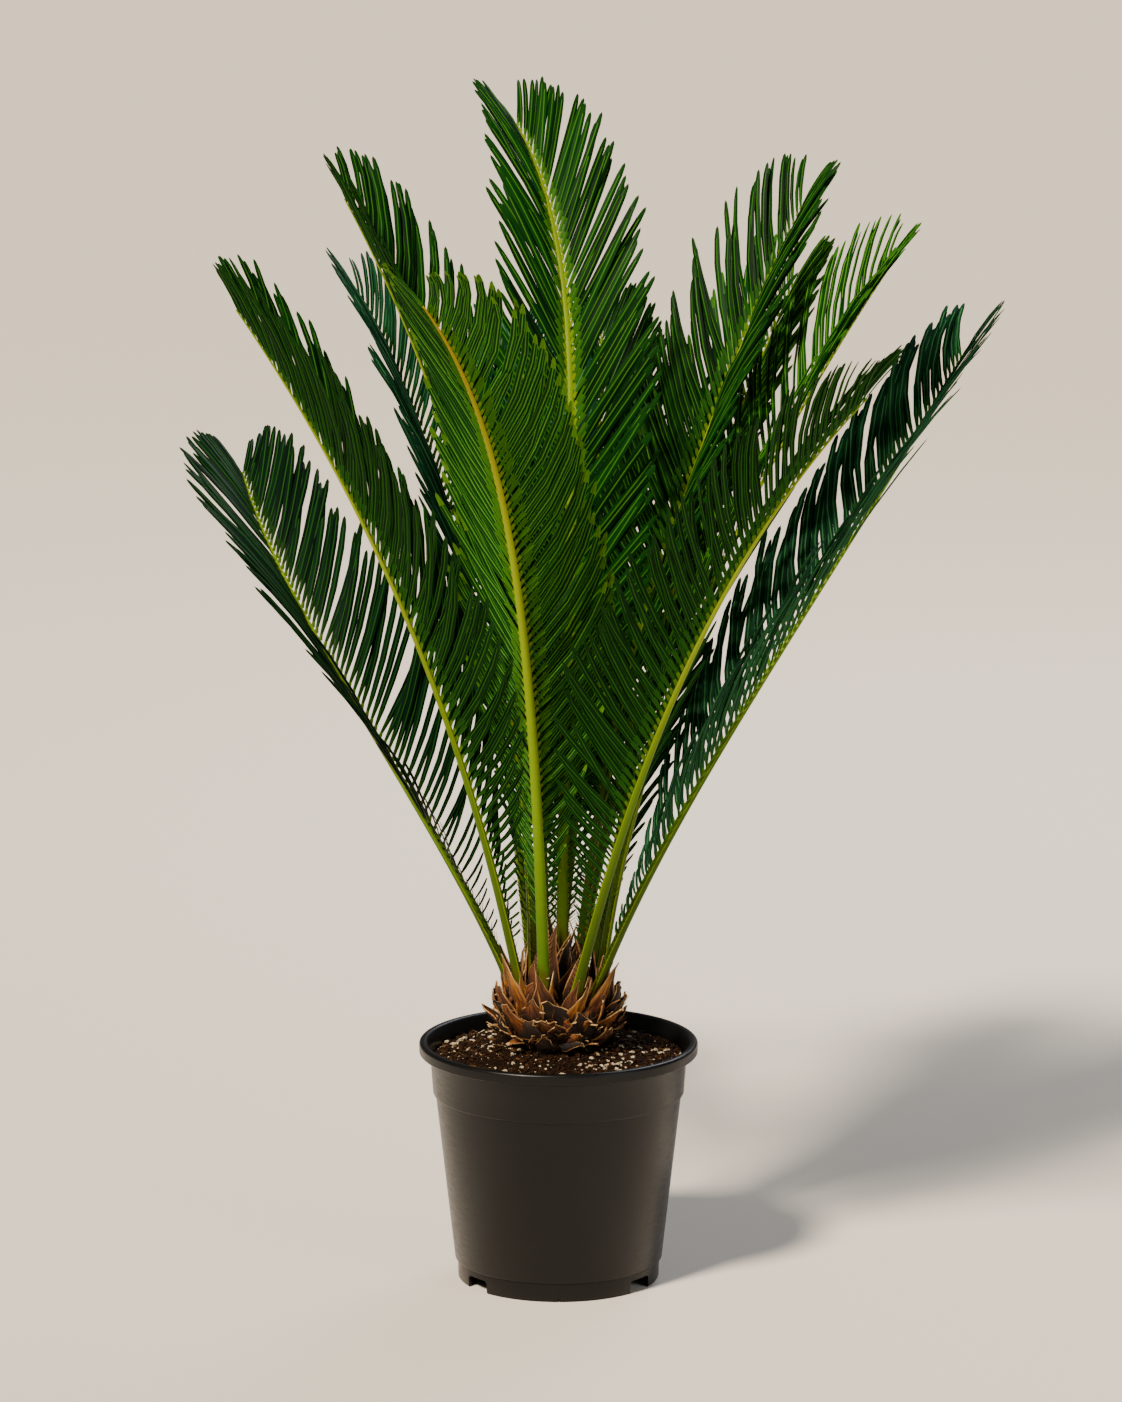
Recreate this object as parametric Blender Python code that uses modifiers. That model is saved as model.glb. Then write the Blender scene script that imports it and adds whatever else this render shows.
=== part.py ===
"""A sago palm in its black nursery pot: pot, soil, scaly trunk and a crown of comb-like fronds.

Metres, +Z up, origin at the middle of the pot's flat underside, seen from -Y.
"""

import math
from dataclasses import dataclass

import bmesh
import bpy
from mathutils import Matrix, Vector
from mathutils.bvhtree import BVHTree

MM = 0.001

# Gap kept between pieces that touch
FIT_GAP = 0.3 * MM

# Nursery pot: an 11 inch pot with a rolled rim, a collar and a notched foot
TURN_STEPS = 48
POT_HEIGHT = 244 * MM
RIM_RADIUS = 140 * MM
RIM_DEPTH = 12 * MM
RIM_BORE = 132 * MM
RIM_ROUND = 2 * MM
RIM_ROUND_MIDDLE = RIM_ROUND * (1 - math.sin(math.pi / 4))
RIM_FOOT = POT_HEIGHT - RIM_DEPTH
EDGE_ROUND = 1 * MM
COLLAR_TOP_RADIUS = 129 * MM
COLLAR_FOOT_RADIUS = 126 * MM
COLLAR_FOOT_HEIGHT = 191 * MM
COLLAR_STEP = 2.5 * MM
COLLAR_SLOPE = 1.5 * MM
COLLAR_STEP_HEIGHT = COLLAR_FOOT_HEIGHT - COLLAR_SLOPE
BODY_FOOT_RADIUS = 104 * MM
FOOT_HEIGHT = 18.5 * MM
FOOT_STEP_HEIGHT = FOOT_HEIGHT + 2 * MM
FOOT_RADIUS = 101.5 * MM
FOOT_TAPER = 0.6 * MM
FOOT_RING = 3.5 * MM
POT_WALL = 2 * MM
FLOOR_UNDERSIDE = 14 * MM
FLOOR_TOP = 16.5 * MM
CENTRE_PAD_RADIUS = 30 * MM
NOTCH_BEARINGS = (36, 144, 216, 324)
NOTCH_WIDTH = 31 * MM
NOTCH_HEIGHT = 13 * MM
NOTCH_ROUND = 4 * MM

# Potting soil, heaped a little round the trunk
SOIL_EDGE_HEIGHT = 228 * MM
SOIL_CENTRE_HEIGHT = 242 * MM
SOIL_HEAP_RADIUS = 58 * MM
SOIL_SLOPE_RADIUS = 85 * MM
SOIL_SLOPE_RISE = 4 * MM
SOIL_CLEARANCE = 0.6 * MM

# Trunk: radius and height of its core from the flat cut at the soil to the crown
TRUNK_FOOT = SOIL_CENTRE_HEIGHT + FIT_GAP
TRUNK_PROFILE = (
    (50 * MM, 0),
    (57 * MM, 12 * MM),
    (60 * MM, 27 * MM),
    (58 * MM, 40 * MM),
    (49 * MM, 52 * MM),
    (30 * MM, 62 * MM),
)
TRUNK_TOP = TRUNK_FOOT + 68 * MM
TRUNK_STEPS = 28


@dataclass
class ScaleTier:
    """One ring of dead leaf bases: pointed scales leaning out from the trunk."""

    count: int
    height: float
    ring_radius: float
    lean: float
    width: float
    length: float
    turn: float


SCALE_THICKNESS = 6 * MM
SCALE_TIP_RADIUS = 0.04
SCALE_SEAT_SHARE = 0.3
SCALE_TURNS = (0, 5, -5, 10, -10)
SCALE_SIZES = (1, 0.75)
SCALE_TIERS = (
    ScaleTier(13, 250 * MM, 50 * MM, 56, 22 * MM, 28 * MM, 0),
    ScaleTier(13, 257 * MM, 53 * MM, 42, 24 * MM, 34 * MM, 14),
    ScaleTier(13, 266 * MM, 54 * MM, 30, 24 * MM, 40 * MM, 3),
    ScaleTier(12, 276 * MM, 53 * MM, 20, 23 * MM, 44 * MM, 18),
    ScaleTier(12, 287 * MM, 49 * MM, 12, 20 * MM, 46 * MM, 8),
    ScaleTier(9, 296 * MM, 34 * MM, 8, 13 * MM, 46 * MM, 0),
    ScaleTier(5, 300 * MM, 13 * MM, 5, 12 * MM, 46 * MM, 30),
)


@dataclass
class Ring:
    """A ring of seats on the crown, where the stems of the fronds stand."""

    radius: float
    height: float


OUTER = Ring(42 * MM, 264 * MM)
INNER = Ring(24 * MM, 282 * MM)


@dataclass
class Frond:
    """One frond, as it grows from its seat; angles in degrees, length of the rib in metres.

    It leaves the crown towards `bearing`, at `rise` above level. Along the rib it bows down
    by `bend` and swings sideways by `sweep`, early for a small `bow` and late for a large one.
    `roll` turns the blade about its rib.
    """

    name: str
    ring: Ring
    seat: float
    bearing: float
    rise: float
    bend: float
    sweep: float
    bow: float
    length: float
    roll: float = 0


FRONDS = (
    Frond("frond_centre_back", INNER, 81.9, 75, 88.1, 53.2, 42.7, 1.97, 0.934),
    Frond("frond_front", OUTER, 252.1, 260.4, 79.9, 40.3, -19.8, 1.9, 0.871),
    Frond("frond_right_tall", INNER, 38.1, 36.1, 88.4, 34.7, 9.9, 0.7, 0.849),
    Frond("frond_left_tall", INNER, 170.4, 145.2, 89.3, 29.4, 16.9, 1.13, 0.836),
    Frond("frond_left", OUTER, 225.6, 199.8, 78.7, 23.0, -23.3, 1.24, 0.791),
    Frond("frond_far_right", OUTER, 304.6, 347.8, 75.8, 37.5, 68.5, 0.62, 0.818, roll=-12),
    Frond("frond_front_right", OUTER, 280.0, 308.9, 69.7, 24.1, 18.8, 1.59, 0.790),
    Frond("frond_right", OUTER, 23.4, 21.8, 86.7, 34.7, 2.6, 0.73, 0.820),
    Frond("frond_low_left", OUTER, 146.6, 179.2, 72.3, 46.4, -76.8, 0.74, 0.707),
    Frond("frond_back_left", OUTER, 122.0, 117.8, 78.3, 34.6, 11.6, 1.46, 0.775, roll=12),
    Frond("frond_back_right", OUTER, 72.7, 49.7, 77.6, 26.2, 1.1, 0.76, 0.796),
    Frond("frond_rear_right", OUTER, 48.1, 58.2, 69.8, 8.6, 14.2, 1.09, 0.622),
    Frond("frond_rear", OUTER, 97.4, 76.8, 59.7, 8.4, 13.0, 1.09, 0.760),
    Frond("frond_rear_left", INNER, 125.8, 91.9, 71.0, 25.9, 3.7, 1.09, 0.716),
)

# Rib: five-sided, flat above, keeled below, tapering from the foot to the tip
RIB_FOOT_WIDTH = 13 * MM
RIB_TIP_WIDTH = 2.6 * MM
RIB_TAPER = 0.7
RIB_RISE_SHARE = 0.32
RIB_KEEL_SHARE = 0.48
RIB_EDGE_SHARE = 0.24
RIB_EDGE_LEAST = 1.3 * MM
PATH_STEPS = 90
STALK_STATIONS = 4

# Leaflets: two rows on the rib, lifted to a V, each standing for two real ones
LEAFLET_PITCH = 17 * MM
LEAFLET_START = 0.09
LEAFLET_LENGTH = 150 * MM
LEAFLET_FIRST = 0.10
LEAFLET_FULL_AT = 0.34
LEAFLET_SHRINK_FROM = 0.5
LEAFLET_SHRINK_POWER = 5
LEAFLET_LAST = 0.3
LEAFLET_THICKNESS = 1.3 * MM
LEAFLET_FORWARD_FIRST = 58
LEAFLET_FORWARD_LAST = 20
LEAFLET_LIFT_FIRST = 42
LEAFLET_LIFT_LAST = 26
CLEARANCE = 1.2 * MM
SHORTENINGS = (1.0, 0.82, 0.66, 0.5, 0.36, 0.24)

COLLECTION = "sago_palm"


def clear_scene():
    """Remove every object that the file starts with."""
    for obj in list(bpy.data.objects):
        bpy.data.objects.remove(obj, do_unlink=True)


def new_collection(name):
    """A collection under the scene's own."""
    coll = bpy.data.collections.new(name)
    bpy.context.scene.collection.children.link(coll)
    return coll


def material(name, colour, roughness):
    """A plain Principled material."""
    mat = bpy.data.materials.new(name)
    mat.use_nodes = True
    shader = mat.node_tree.nodes["Principled BSDF"]
    shader.inputs["Base Color"].default_value = (*colour, 1)
    shader.inputs["Roughness"].default_value = roughness
    shader.inputs["Metallic"].default_value = 0
    mat.diffuse_color = (*colour, 1)
    return mat


def new_object(name, bm, coll, mat=None):
    """Turn a bmesh into an object of the given collection."""
    mesh = bpy.data.meshes.new(name)
    bm.to_mesh(mesh)
    bm.free()
    obj = bpy.data.objects.new(name, mesh)
    coll.objects.link(obj)
    if mat:
        mesh.materials.append(mat)
    return obj


def turned(name, profile, coll, mat, steps):
    """Turn an open profile, whose two ends lie on the axis, into a closed body."""
    bm = bmesh.new()
    verts = [bm.verts.new((radius, 0, height)) for radius, height in profile]
    for a, b in zip(verts, verts[1:]):
        bm.edges.new((a, b))
    obj = new_object(name, bm, coll, mat)
    screw = obj.modifiers.new("turn", "SCREW")
    screw.steps = steps
    screw.render_steps = steps
    screw.use_merge_vertices = True
    screw.merge_threshold = 0.00001
    return obj


def apply_modifiers(obj):
    """Give the object the mesh that its modifiers make."""
    graph = bpy.context.evaluated_depsgraph_get()
    mesh = bpy.data.meshes.new_from_object(obj.evaluated_get(graph))
    obj.modifiers.clear()
    obj.data = mesh


def smooth(obj, angle):
    """Shade round faces smooth and keep edges sharper than the angle."""
    obj.data.shade_smooth()
    obj.data.set_sharp_from_angle(angle=math.radians(angle))


def pot_wall_radius(height):
    """Outer radius of the pot's body between its foot and its collar."""
    share = (height - FOOT_HEIGHT) / (COLLAR_FOOT_HEIGHT - FOOT_HEIGHT)
    return BODY_FOOT_RADIUS + share * (COLLAR_FOOT_RADIUS - COLLAR_STEP - BODY_FOOT_RADIUS)


def make_pot(coll, cutters):
    """The pot: a turned shell with a rolled rim, and four drainage notches in its foot."""
    profile = (
        (0, FLOOR_TOP),
        (FOOT_RADIUS - POT_WALL - EDGE_ROUND, FLOOR_TOP),
        (pot_wall_radius(FOOT_STEP_HEIGHT) - POT_WALL, FOOT_STEP_HEIGHT + EDGE_ROUND),
        (pot_wall_radius(COLLAR_STEP_HEIGHT) - POT_WALL, COLLAR_STEP_HEIGHT),
        (COLLAR_FOOT_RADIUS - POT_WALL, COLLAR_FOOT_HEIGHT + COLLAR_SLOPE),
        (COLLAR_TOP_RADIUS - POT_WALL, RIM_FOOT),
        (RIM_BORE, POT_HEIGHT - EDGE_ROUND),
        (RIM_BORE + EDGE_ROUND, POT_HEIGHT),
        (RIM_RADIUS - RIM_ROUND, POT_HEIGHT),
        (RIM_RADIUS - RIM_ROUND_MIDDLE, POT_HEIGHT - RIM_ROUND_MIDDLE),
        (RIM_RADIUS, POT_HEIGHT - RIM_ROUND),
        (RIM_RADIUS, RIM_FOOT + EDGE_ROUND),
        (RIM_RADIUS - EDGE_ROUND, RIM_FOOT),
        (COLLAR_TOP_RADIUS, RIM_FOOT),
        (COLLAR_FOOT_RADIUS, COLLAR_FOOT_HEIGHT),
        (pot_wall_radius(COLLAR_STEP_HEIGHT), COLLAR_STEP_HEIGHT),
        (pot_wall_radius(FOOT_STEP_HEIGHT), FOOT_STEP_HEIGHT),
        (FOOT_RADIUS, FOOT_HEIGHT),
        (FOOT_RADIUS - FOOT_TAPER, 0),
        (FOOT_RADIUS - FOOT_RING, 0),
        (FOOT_RADIUS - FOOT_RING, FLOOR_UNDERSIDE),
        (CENTRE_PAD_RADIUS + EDGE_ROUND, FLOOR_UNDERSIDE),
        (CENTRE_PAD_RADIUS, 0),
        (0, 0),
    )
    pot = turned("pot", profile, coll, material("black_plastic", (0.022, 0.021, 0.020), 0.42), TURN_STEPS)
    bm = bmesh.new()
    for bearing in NOTCH_BEARINGS:
        made = bmesh.ops.create_cube(bm, size=1)["verts"]
        size = Matrix.Diagonal((4 * FOOT_RING, NOTCH_WIDTH, 2 * NOTCH_HEIGHT, 1))
        place = Matrix.Rotation(math.radians(bearing), 4, "Z") @ Matrix.Translation((FOOT_RADIUS, 0, 0))
        bmesh.ops.transform(bm, matrix=place @ size, verts=made)
        along = place.to_3x3() @ Vector((1, 0, 0))
        edges = {edge for vert in made for edge in vert.link_edges}
        top = [
            edge
            for edge in edges
            if abs((edge.verts[0].co - edge.verts[1].co).normalized().dot(along)) > 0.99
            and edge.verts[0].co.z > 0
        ]
        bmesh.ops.bevel(
            bm, geom=top, offset=NOTCH_ROUND, segments=2, profile=0.5, affect="EDGES", material=-1
        )
    notches = new_object("notches", bm, cutters)
    cut = pot.modifiers.new("notches", "BOOLEAN")
    cut.operation = "DIFFERENCE"
    cut.object = notches
    apply_modifiers(pot)
    smooth(pot, 35)
    return pot


def make_soil(coll):
    """The soil that fills the pot from its floor, heaped to the trunk's foot."""
    below_rim = (RIM_FOOT - SOIL_EDGE_HEIGHT) / (RIM_FOOT - COLLAR_FOOT_HEIGHT)
    edge = COLLAR_TOP_RADIUS - (COLLAR_TOP_RADIUS - COLLAR_FOOT_RADIUS) * below_rim
    inset = POT_WALL + SOIL_CLEARANCE
    profile = (
        (0, SOIL_CENTRE_HEIGHT),
        (SOIL_HEAP_RADIUS, SOIL_CENTRE_HEIGHT),
        (SOIL_SLOPE_RADIUS, SOIL_EDGE_HEIGHT + SOIL_SLOPE_RISE),
        (edge - inset, SOIL_EDGE_HEIGHT),
        (COLLAR_FOOT_RADIUS - inset, COLLAR_FOOT_HEIGHT + COLLAR_SLOPE),
        (pot_wall_radius(COLLAR_STEP_HEIGHT) - inset, COLLAR_STEP_HEIGHT),
        (pot_wall_radius(FOOT_HEIGHT) - inset, FOOT_STEP_HEIGHT + 4 * EDGE_ROUND),
        (FOOT_RADIUS - inset - FOOT_TAPER - EDGE_ROUND, FLOOR_TOP + FIT_GAP),
        (0, FLOOR_TOP + FIT_GAP),
    )
    soil = turned("soil", profile, coll, material("potting_soil", (0.045, 0.028, 0.018), 0.95), TURN_STEPS)
    apply_modifiers(soil)
    smooth(soil, 35)
    return soil


class Rib:
    """The line of a frond's rib, with its direction, upper side and right side anywhere along it."""

    def __init__(self, frond):
        """Walk the rib from its seat in short steps."""
        self.frond = frond
        seat = math.radians(frond.seat)
        ring = frond.ring
        point = Vector((ring.radius * math.cos(seat), ring.radius * math.sin(seat), ring.height))
        self.points = [point.copy()]
        for step in range(PATH_STEPS):
            point += self.direction((step + 0.5) / PATH_STEPS) * frond.length / PATH_STEPS
            self.points.append(point.copy())

    def angles(self, share):
        """Height above level and bearing of the rib, in radians, at a share of its length."""
        bowed = share**self.frond.bow
        return (
            math.radians(self.frond.rise - self.frond.bend * bowed),
            math.radians(self.frond.bearing + self.frond.sweep * bowed),
        )

    def direction(self, share):
        """Unit vector along the rib."""
        rise, bearing = self.angles(share)
        level = math.cos(rise)
        return Vector((level * math.cos(bearing), level * math.sin(bearing), math.sin(rise)))

    def at(self, share):
        """Point, direction, upper side and right side at a share of the length; below 0 is in line."""
        where = max(share, 0) * PATH_STEPS
        step = min(int(where), PATH_STEPS - 1)
        point = self.points[step].lerp(self.points[step + 1], where - step)
        along = self.direction(max(share, 0))
        if share < 0:
            point = point + along * share * self.frond.length
        rise, bearing = self.angles(max(share, 0))
        level = math.sin(rise)
        upper = Vector((-level * math.cos(bearing), -level * math.sin(bearing), math.cos(rise)))
        upper = Matrix.Rotation(math.radians(self.frond.roll), 3, along) @ upper
        return point, along, upper, along.cross(upper)

    def width(self, share):
        """Width of the rib at a share of its length."""
        left = max(1 - max(share, 0), 0)
        return RIB_TIP_WIDTH + (RIB_FOOT_WIDTH - RIB_TIP_WIDTH) * left**RIB_TAPER

    def section(self, share, grow=0):
        """The five corners of the rib: upper right, edge right, keel, edge left, upper left."""
        point, _, upper, right = self.at(share)
        width = self.width(share)
        half = width / 2 + grow
        top = width * RIB_RISE_SHARE + grow
        edge = top - max(width * RIB_EDGE_SHARE, RIB_EDGE_LEAST) - 1.5 * grow
        keel = -width * RIB_KEEL_SHARE - 2 * grow
        corners = ((half, top), (half, edge), (0, keel), (-half, edge), (-half, top))
        return [point + right * across + upper * up for across, up in corners]


def loft(bm, rings):
    """Skin closed rings of equal corner counts into one capped body; returns the faces by station."""
    loops = [[bm.verts.new(corner) for corner in ring] for ring in rings]
    bands = []
    for low, high in zip(loops, loops[1:]):
        count = len(low)
        bands.append(
            [
                bm.faces.new((low[i], low[(i + 1) % count], high[(i + 1) % count], high[i]))
                for i in range(count)
            ]
        )
    bm.faces.new(loops[0][::-1])
    bm.faces.new(loops[-1])
    return bands


def leaflet_share(along):
    """Length of a leaflet, as a share of the longest, by its place among the leaflets."""
    opening = min(along / LEAFLET_FULL_AT, 1)
    rising = LEAFLET_FIRST + (1 - LEAFLET_FIRST) * math.sin(opening * math.pi / 2)
    closing = max(along - LEAFLET_SHRINK_FROM, 0) / (1 - LEAFLET_SHRINK_FROM)
    return rising * (1 - (1 - LEAFLET_LAST) * closing**LEAFLET_SHRINK_POWER)


def leaflet_direction(rib, share, along, side):
    """Unit vector of a leaflet: forward along the rib, out to its side and lifted to a V."""
    _, forward, upper, right = rib.at(share)
    lean = math.radians(LEAFLET_FORWARD_FIRST + (LEAFLET_FORWARD_LAST - LEAFLET_FORWARD_FIRST) * along)
    lift = math.radians(LEAFLET_LIFT_FIRST + (LEAFLET_LIFT_LAST - LEAFLET_LIFT_FIRST) * along)
    outward = right * side * math.cos(lift) + upper * math.sin(lift)
    return forward * math.cos(lean) + outward * math.sin(lean)


def leaflet_tree(root, tip, thick):
    """A search tree of a leaflet, a little larger than it is, to find what it would touch."""
    middle = sum(root, Vector()) / len(root)
    corners = []
    for corner in root:
        away = corner - middle
        above = 1 if away.dot(thick) > 0 else -1
        corners.append(corner + away.normalized() * CLEARANCE + thick * CLEARANCE * above)
    tip = tip + (tip - middle).normalized() * CLEARANCE
    ends = [tip + thick * 1.5 * CLEARANCE, tip - thick * 1.5 * CLEARANCE]
    above = [i for i, corner in enumerate(root) if (corner - middle).dot(thick) > 0]
    # The two upper corners in the order in which they go round the face
    first, second = above if above != [0, 3] else [3, 0]
    third, fourth = (second + 1) % 4, (second + 2) % 4
    faces = ((first, second, 4), (third, fourth, 5), (second, third, 5, 4), (fourth, first, 4, 5))
    return BVHTree.FromPolygons(corners + ends, faces)


def stalk_stations():
    """Shares of the rib's length along the bare stalk, up to the first leaflets."""
    return [LEAFLET_START * i / STALK_STATIONS for i in range(STALK_STATIONS + 1)]


def frond_stations(frond):
    """Shares of the rib's length along the bare stalk and then where each pair of leaflets ends."""
    pairs = round(frond.length * (1 - LEAFLET_START) / LEAFLET_PITCH)
    return stalk_stations() + [LEAFLET_START + (1 - LEAFLET_START) * i / pairs for i in range(1, pairs + 1)]


def make_frond(rib, others, coll, mat):
    """One frond: the rib lofted from its foot to its tip, every side face drawn out to a leaflet."""
    frond = rib.frond
    stations = frond_stations(frond)
    bm = bmesh.new()
    bands = loft(bm, [rib.section(share) for share in stations])
    first = STALK_STATIONS
    for low, high, band in zip(stations[first:], stations[first + 1 :], bands[first:]):
        share = (low + high) / 2
        along = (share - LEAFLET_START) / (1 - LEAFLET_START)
        for side, face in ((1, band[0]), (-1, band[3])):
            way = leaflet_direction(rib, share, along, side)
            root = face.calc_center_median()
            forward = rib.at(share)[1]
            thick = way.cross(forward).normalized() * side
            full = LEAFLET_LENGTH * leaflet_share(along)
            corners = [loop.vert.co.copy() for loop in face.loops]
            length = 0
            for cut in SHORTENINGS:
                tree = leaflet_tree(corners, root + way * full * cut, thick)
                if not any(tree.overlap(other) for other in others):
                    length = full * cut
                    break
            if length:
                draw_leaflet(bm, face, root + way * length, thick * LEAFLET_THICKNESS / 2)
    bmesh.ops.recalc_face_normals(bm, faces=bm.faces)
    tree = BVHTree.FromBMesh(bm)
    obj = new_object(frond.name, bm, coll, mat)
    return obj, tree


def draw_leaflet(bm, face, tip, half):
    """Draw a side face of the rib out to a leaflet that ends in an edge as high as it is thick."""
    drawn = bmesh.ops.extrude_discrete_faces(bm, faces=[face])["faces"][0]
    verts = list(drawn.verts)
    middle = sum((vert.co for vert in verts), Vector()) / len(verts)
    above = [vert for vert in verts if (vert.co - middle).dot(half) > 0]
    below = [vert for vert in verts if vert not in above]
    bmesh.ops.pointmerge(bm, verts=above, merge_co=tip + half)
    bmesh.ops.pointmerge(bm, verts=below, merge_co=tip - half)


def scale_body(bm, tier, bearing, size):
    """One dead leaf base: a flattened pyramid leaning out from the trunk."""
    made = bmesh.ops.create_cone(
        bm, cap_ends=True, segments=4, radius1=0.5, radius2=SCALE_TIP_RADIUS, depth=1
    )["verts"]
    shape = (
        Matrix.Rotation(math.radians(bearing), 4, "Z")
        @ Matrix.Translation((tier.ring_radius, 0, tier.height))
        @ Matrix.Rotation(math.radians(tier.lean), 4, "Y")
        @ Matrix.Diagonal((SCALE_THICKNESS, tier.width * size, tier.length * size, 1))
        @ Matrix.Translation((0, 0, SCALE_SEAT_SHARE))
    )
    bmesh.ops.transform(bm, matrix=shape, verts=made)


def scale_with_room(tier, bearing, stalks):
    """A scale turned aside or made smaller until it clears the stems; None where it never does."""
    for size in SCALE_SIZES:
        for turn in SCALE_TURNS:
            bm = bmesh.new()
            scale_body(bm, tier, bearing + turn, size)
            if not any(BVHTree.FromBMesh(bm).overlap(stalk) for stalk in stalks):
                return bm
            bm.free()
    return None


def keep_largest(bm):
    """Delete every loose scrap but the largest body."""
    left = set(bm.verts)
    bodies = []
    while left:
        stack = [left.pop()]
        body = set(stack)
        while stack:
            for edge in stack.pop().link_edges:
                for vert in edge.verts:
                    if vert in left:
                        left.remove(vert)
                        body.add(vert)
                        stack.append(vert)
        bodies.append(body)
    bodies.sort(key=len)
    loose = [vert for body in bodies[:-1] for vert in body]
    bmesh.ops.delete(bm, geom=loose, context="VERTS")


def make_trunk(ribs, stalks, coll, cutters):
    """The trunk: a squat turned core, its scales joined on, and a socket cut for each stem."""
    profile = [(0, TRUNK_TOP)]
    profile += [(radius, TRUNK_FOOT + height) for radius, height in reversed(TRUNK_PROFILE)]
    profile.append((0, TRUNK_FOOT))
    trunk = turned("trunk", profile, coll, material("caudex_scales", (0.20, 0.10, 0.045), 0.85), TRUNK_STEPS)
    scales = new_collection("scales")
    for number, tier in enumerate(SCALE_TIERS):
        for i in range(tier.count):
            bm = scale_with_room(tier, tier.turn + 360 * i / tier.count, stalks)
            if bm:
                new_object(f"scale_{number}_{i}", bm, scales)
    join = trunk.modifiers.new("scales", "BOOLEAN")
    join.operation = "UNION"
    join.operand_type = "COLLECTION"
    join.collection = scales
    for rib in ribs:
        bm = bmesh.new()
        below = FIT_GAP / rib.frond.length
        reach = [-below] + stalk_stations()[1:]
        loft(bm, [rib.section(share, grow=FIT_GAP) for share in reach])
        bmesh.ops.recalc_face_normals(bm, faces=bm.faces)
        socket = new_object(f"socket_{rib.frond.name}", bm, cutters)
        cut = trunk.modifiers.new(socket.name, "BOOLEAN")
        cut.operation = "DIFFERENCE"
        cut.object = socket
    apply_modifiers(trunk)
    for scale in list(scales.objects):
        bpy.data.objects.remove(scale, do_unlink=True)
    bpy.data.collections.remove(scales)
    bm = bmesh.new()
    bm.from_mesh(trunk.data)
    bmesh.ops.remove_doubles(bm, verts=bm.verts, dist=0.00002)
    keep_largest(bm)
    bm.to_mesh(trunk.data)
    bm.free()
    return trunk


def main():
    """Build the pot, the soil, the fronds one by one and the trunk they stand in."""
    clear_scene()
    coll = new_collection(COLLECTION)
    cutters = new_collection("cutters")
    make_pot(coll, cutters)
    make_soil(coll)
    ribs = [Rib(frond) for frond in FRONDS]
    stalks = []
    for rib in ribs:
        bm = bmesh.new()
        loft(bm, [rib.section(share, grow=CLEARANCE) for share in frond_stations(rib.frond)])
        stalks.append(BVHTree.FromBMesh(bm))
        bm.free()
    leaf = material("frond_leaf", (0.030, 0.110, 0.028), 0.45)
    done = []
    for number, rib in enumerate(ribs):
        obstacles = stalks[:number] + stalks[number + 1 :] + done
        done.append(make_frond(rib, obstacles, coll, leaf)[1])
    make_trunk(ribs, stalks, coll, cutters)
    for obj in list(cutters.objects):
        bpy.data.objects.remove(obj, do_unlink=True)


main()
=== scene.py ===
"""A sago palm in a black nursery pot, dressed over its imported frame.

Metres, +Z up, seen from -Y. The fronds follow the rule of the part's own solids: the same seats,
bows and lengths, with every leaflet drawn at its real size instead of one for each two.
"""

import logging
import math
from dataclasses import dataclass
from enum import Enum

import bmesh
import bpy
import numpy as np
from mathutils import Matrix, Vector, noise


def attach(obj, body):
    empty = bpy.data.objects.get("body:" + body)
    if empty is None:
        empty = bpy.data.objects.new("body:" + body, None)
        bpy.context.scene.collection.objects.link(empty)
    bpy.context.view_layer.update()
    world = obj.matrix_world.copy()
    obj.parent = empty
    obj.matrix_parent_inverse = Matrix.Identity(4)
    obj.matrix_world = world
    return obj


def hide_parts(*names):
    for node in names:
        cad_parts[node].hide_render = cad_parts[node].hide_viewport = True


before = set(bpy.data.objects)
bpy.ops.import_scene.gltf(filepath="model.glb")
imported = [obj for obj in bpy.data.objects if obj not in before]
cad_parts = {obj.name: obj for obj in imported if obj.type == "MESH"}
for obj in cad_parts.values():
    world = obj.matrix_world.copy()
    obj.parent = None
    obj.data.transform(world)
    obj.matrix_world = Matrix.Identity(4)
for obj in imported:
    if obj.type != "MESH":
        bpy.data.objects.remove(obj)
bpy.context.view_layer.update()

LOG = logging.getLogger("sago_palm")
MM = 0.001
BODY = "root"
Socket = bpy.types.NodeSocket
Stops = tuple[tuple[float, str], ...]


# Nodes and materials


def linear(colour: str) -> tuple[float, float, float, float]:
    """Turn an sRGB hex colour to linear light.

    Args:
        colour: Six hex digits after a hash.

    Returns:
        Red, green, blue and an alpha of 1.
    """
    channels = [int(colour[i : i + 2], 16) / 255 for i in (1, 3, 5)]
    turned = [c / 12.92 if c <= 0.04045 else ((c + 0.055) / 1.055) ** 2.4 for c in channels]
    return (*turned, 1.0)


def add_node(
    tree: bpy.types.NodeTree,
    kind: str,
    inputs: dict | None = None,
    stops: Stops = (),
    **settings,
) -> bpy.types.Node:
    """Add a shader node with its settings and links.

    Args:
        tree: The material's node tree.
        kind: Type of the node, without its ShaderNode prefix.
        inputs: For each input's name or number, a plain value or the socket that feeds it.
        stops: Places and sRGB hex colours of a colour ramp.
        **settings: Properties of the node.

    Returns:
        The new node.
    """
    node = tree.nodes.new(f"ShaderNode{kind}")
    for name, value in settings.items():
        setattr(node, name, value)
    for name, value in (inputs or {}).items():
        if isinstance(value, Socket):
            tree.links.new(value, node.inputs[name])
        else:
            node.inputs[name].default_value = value
    if stops:
        elements = node.color_ramp.elements
        while len(elements) < len(stops):
            elements.new(0.5)
        for element, (place, colour) in zip(elements, stops):
            element.position = place
            element.color = linear(colour)
    return node


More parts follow.
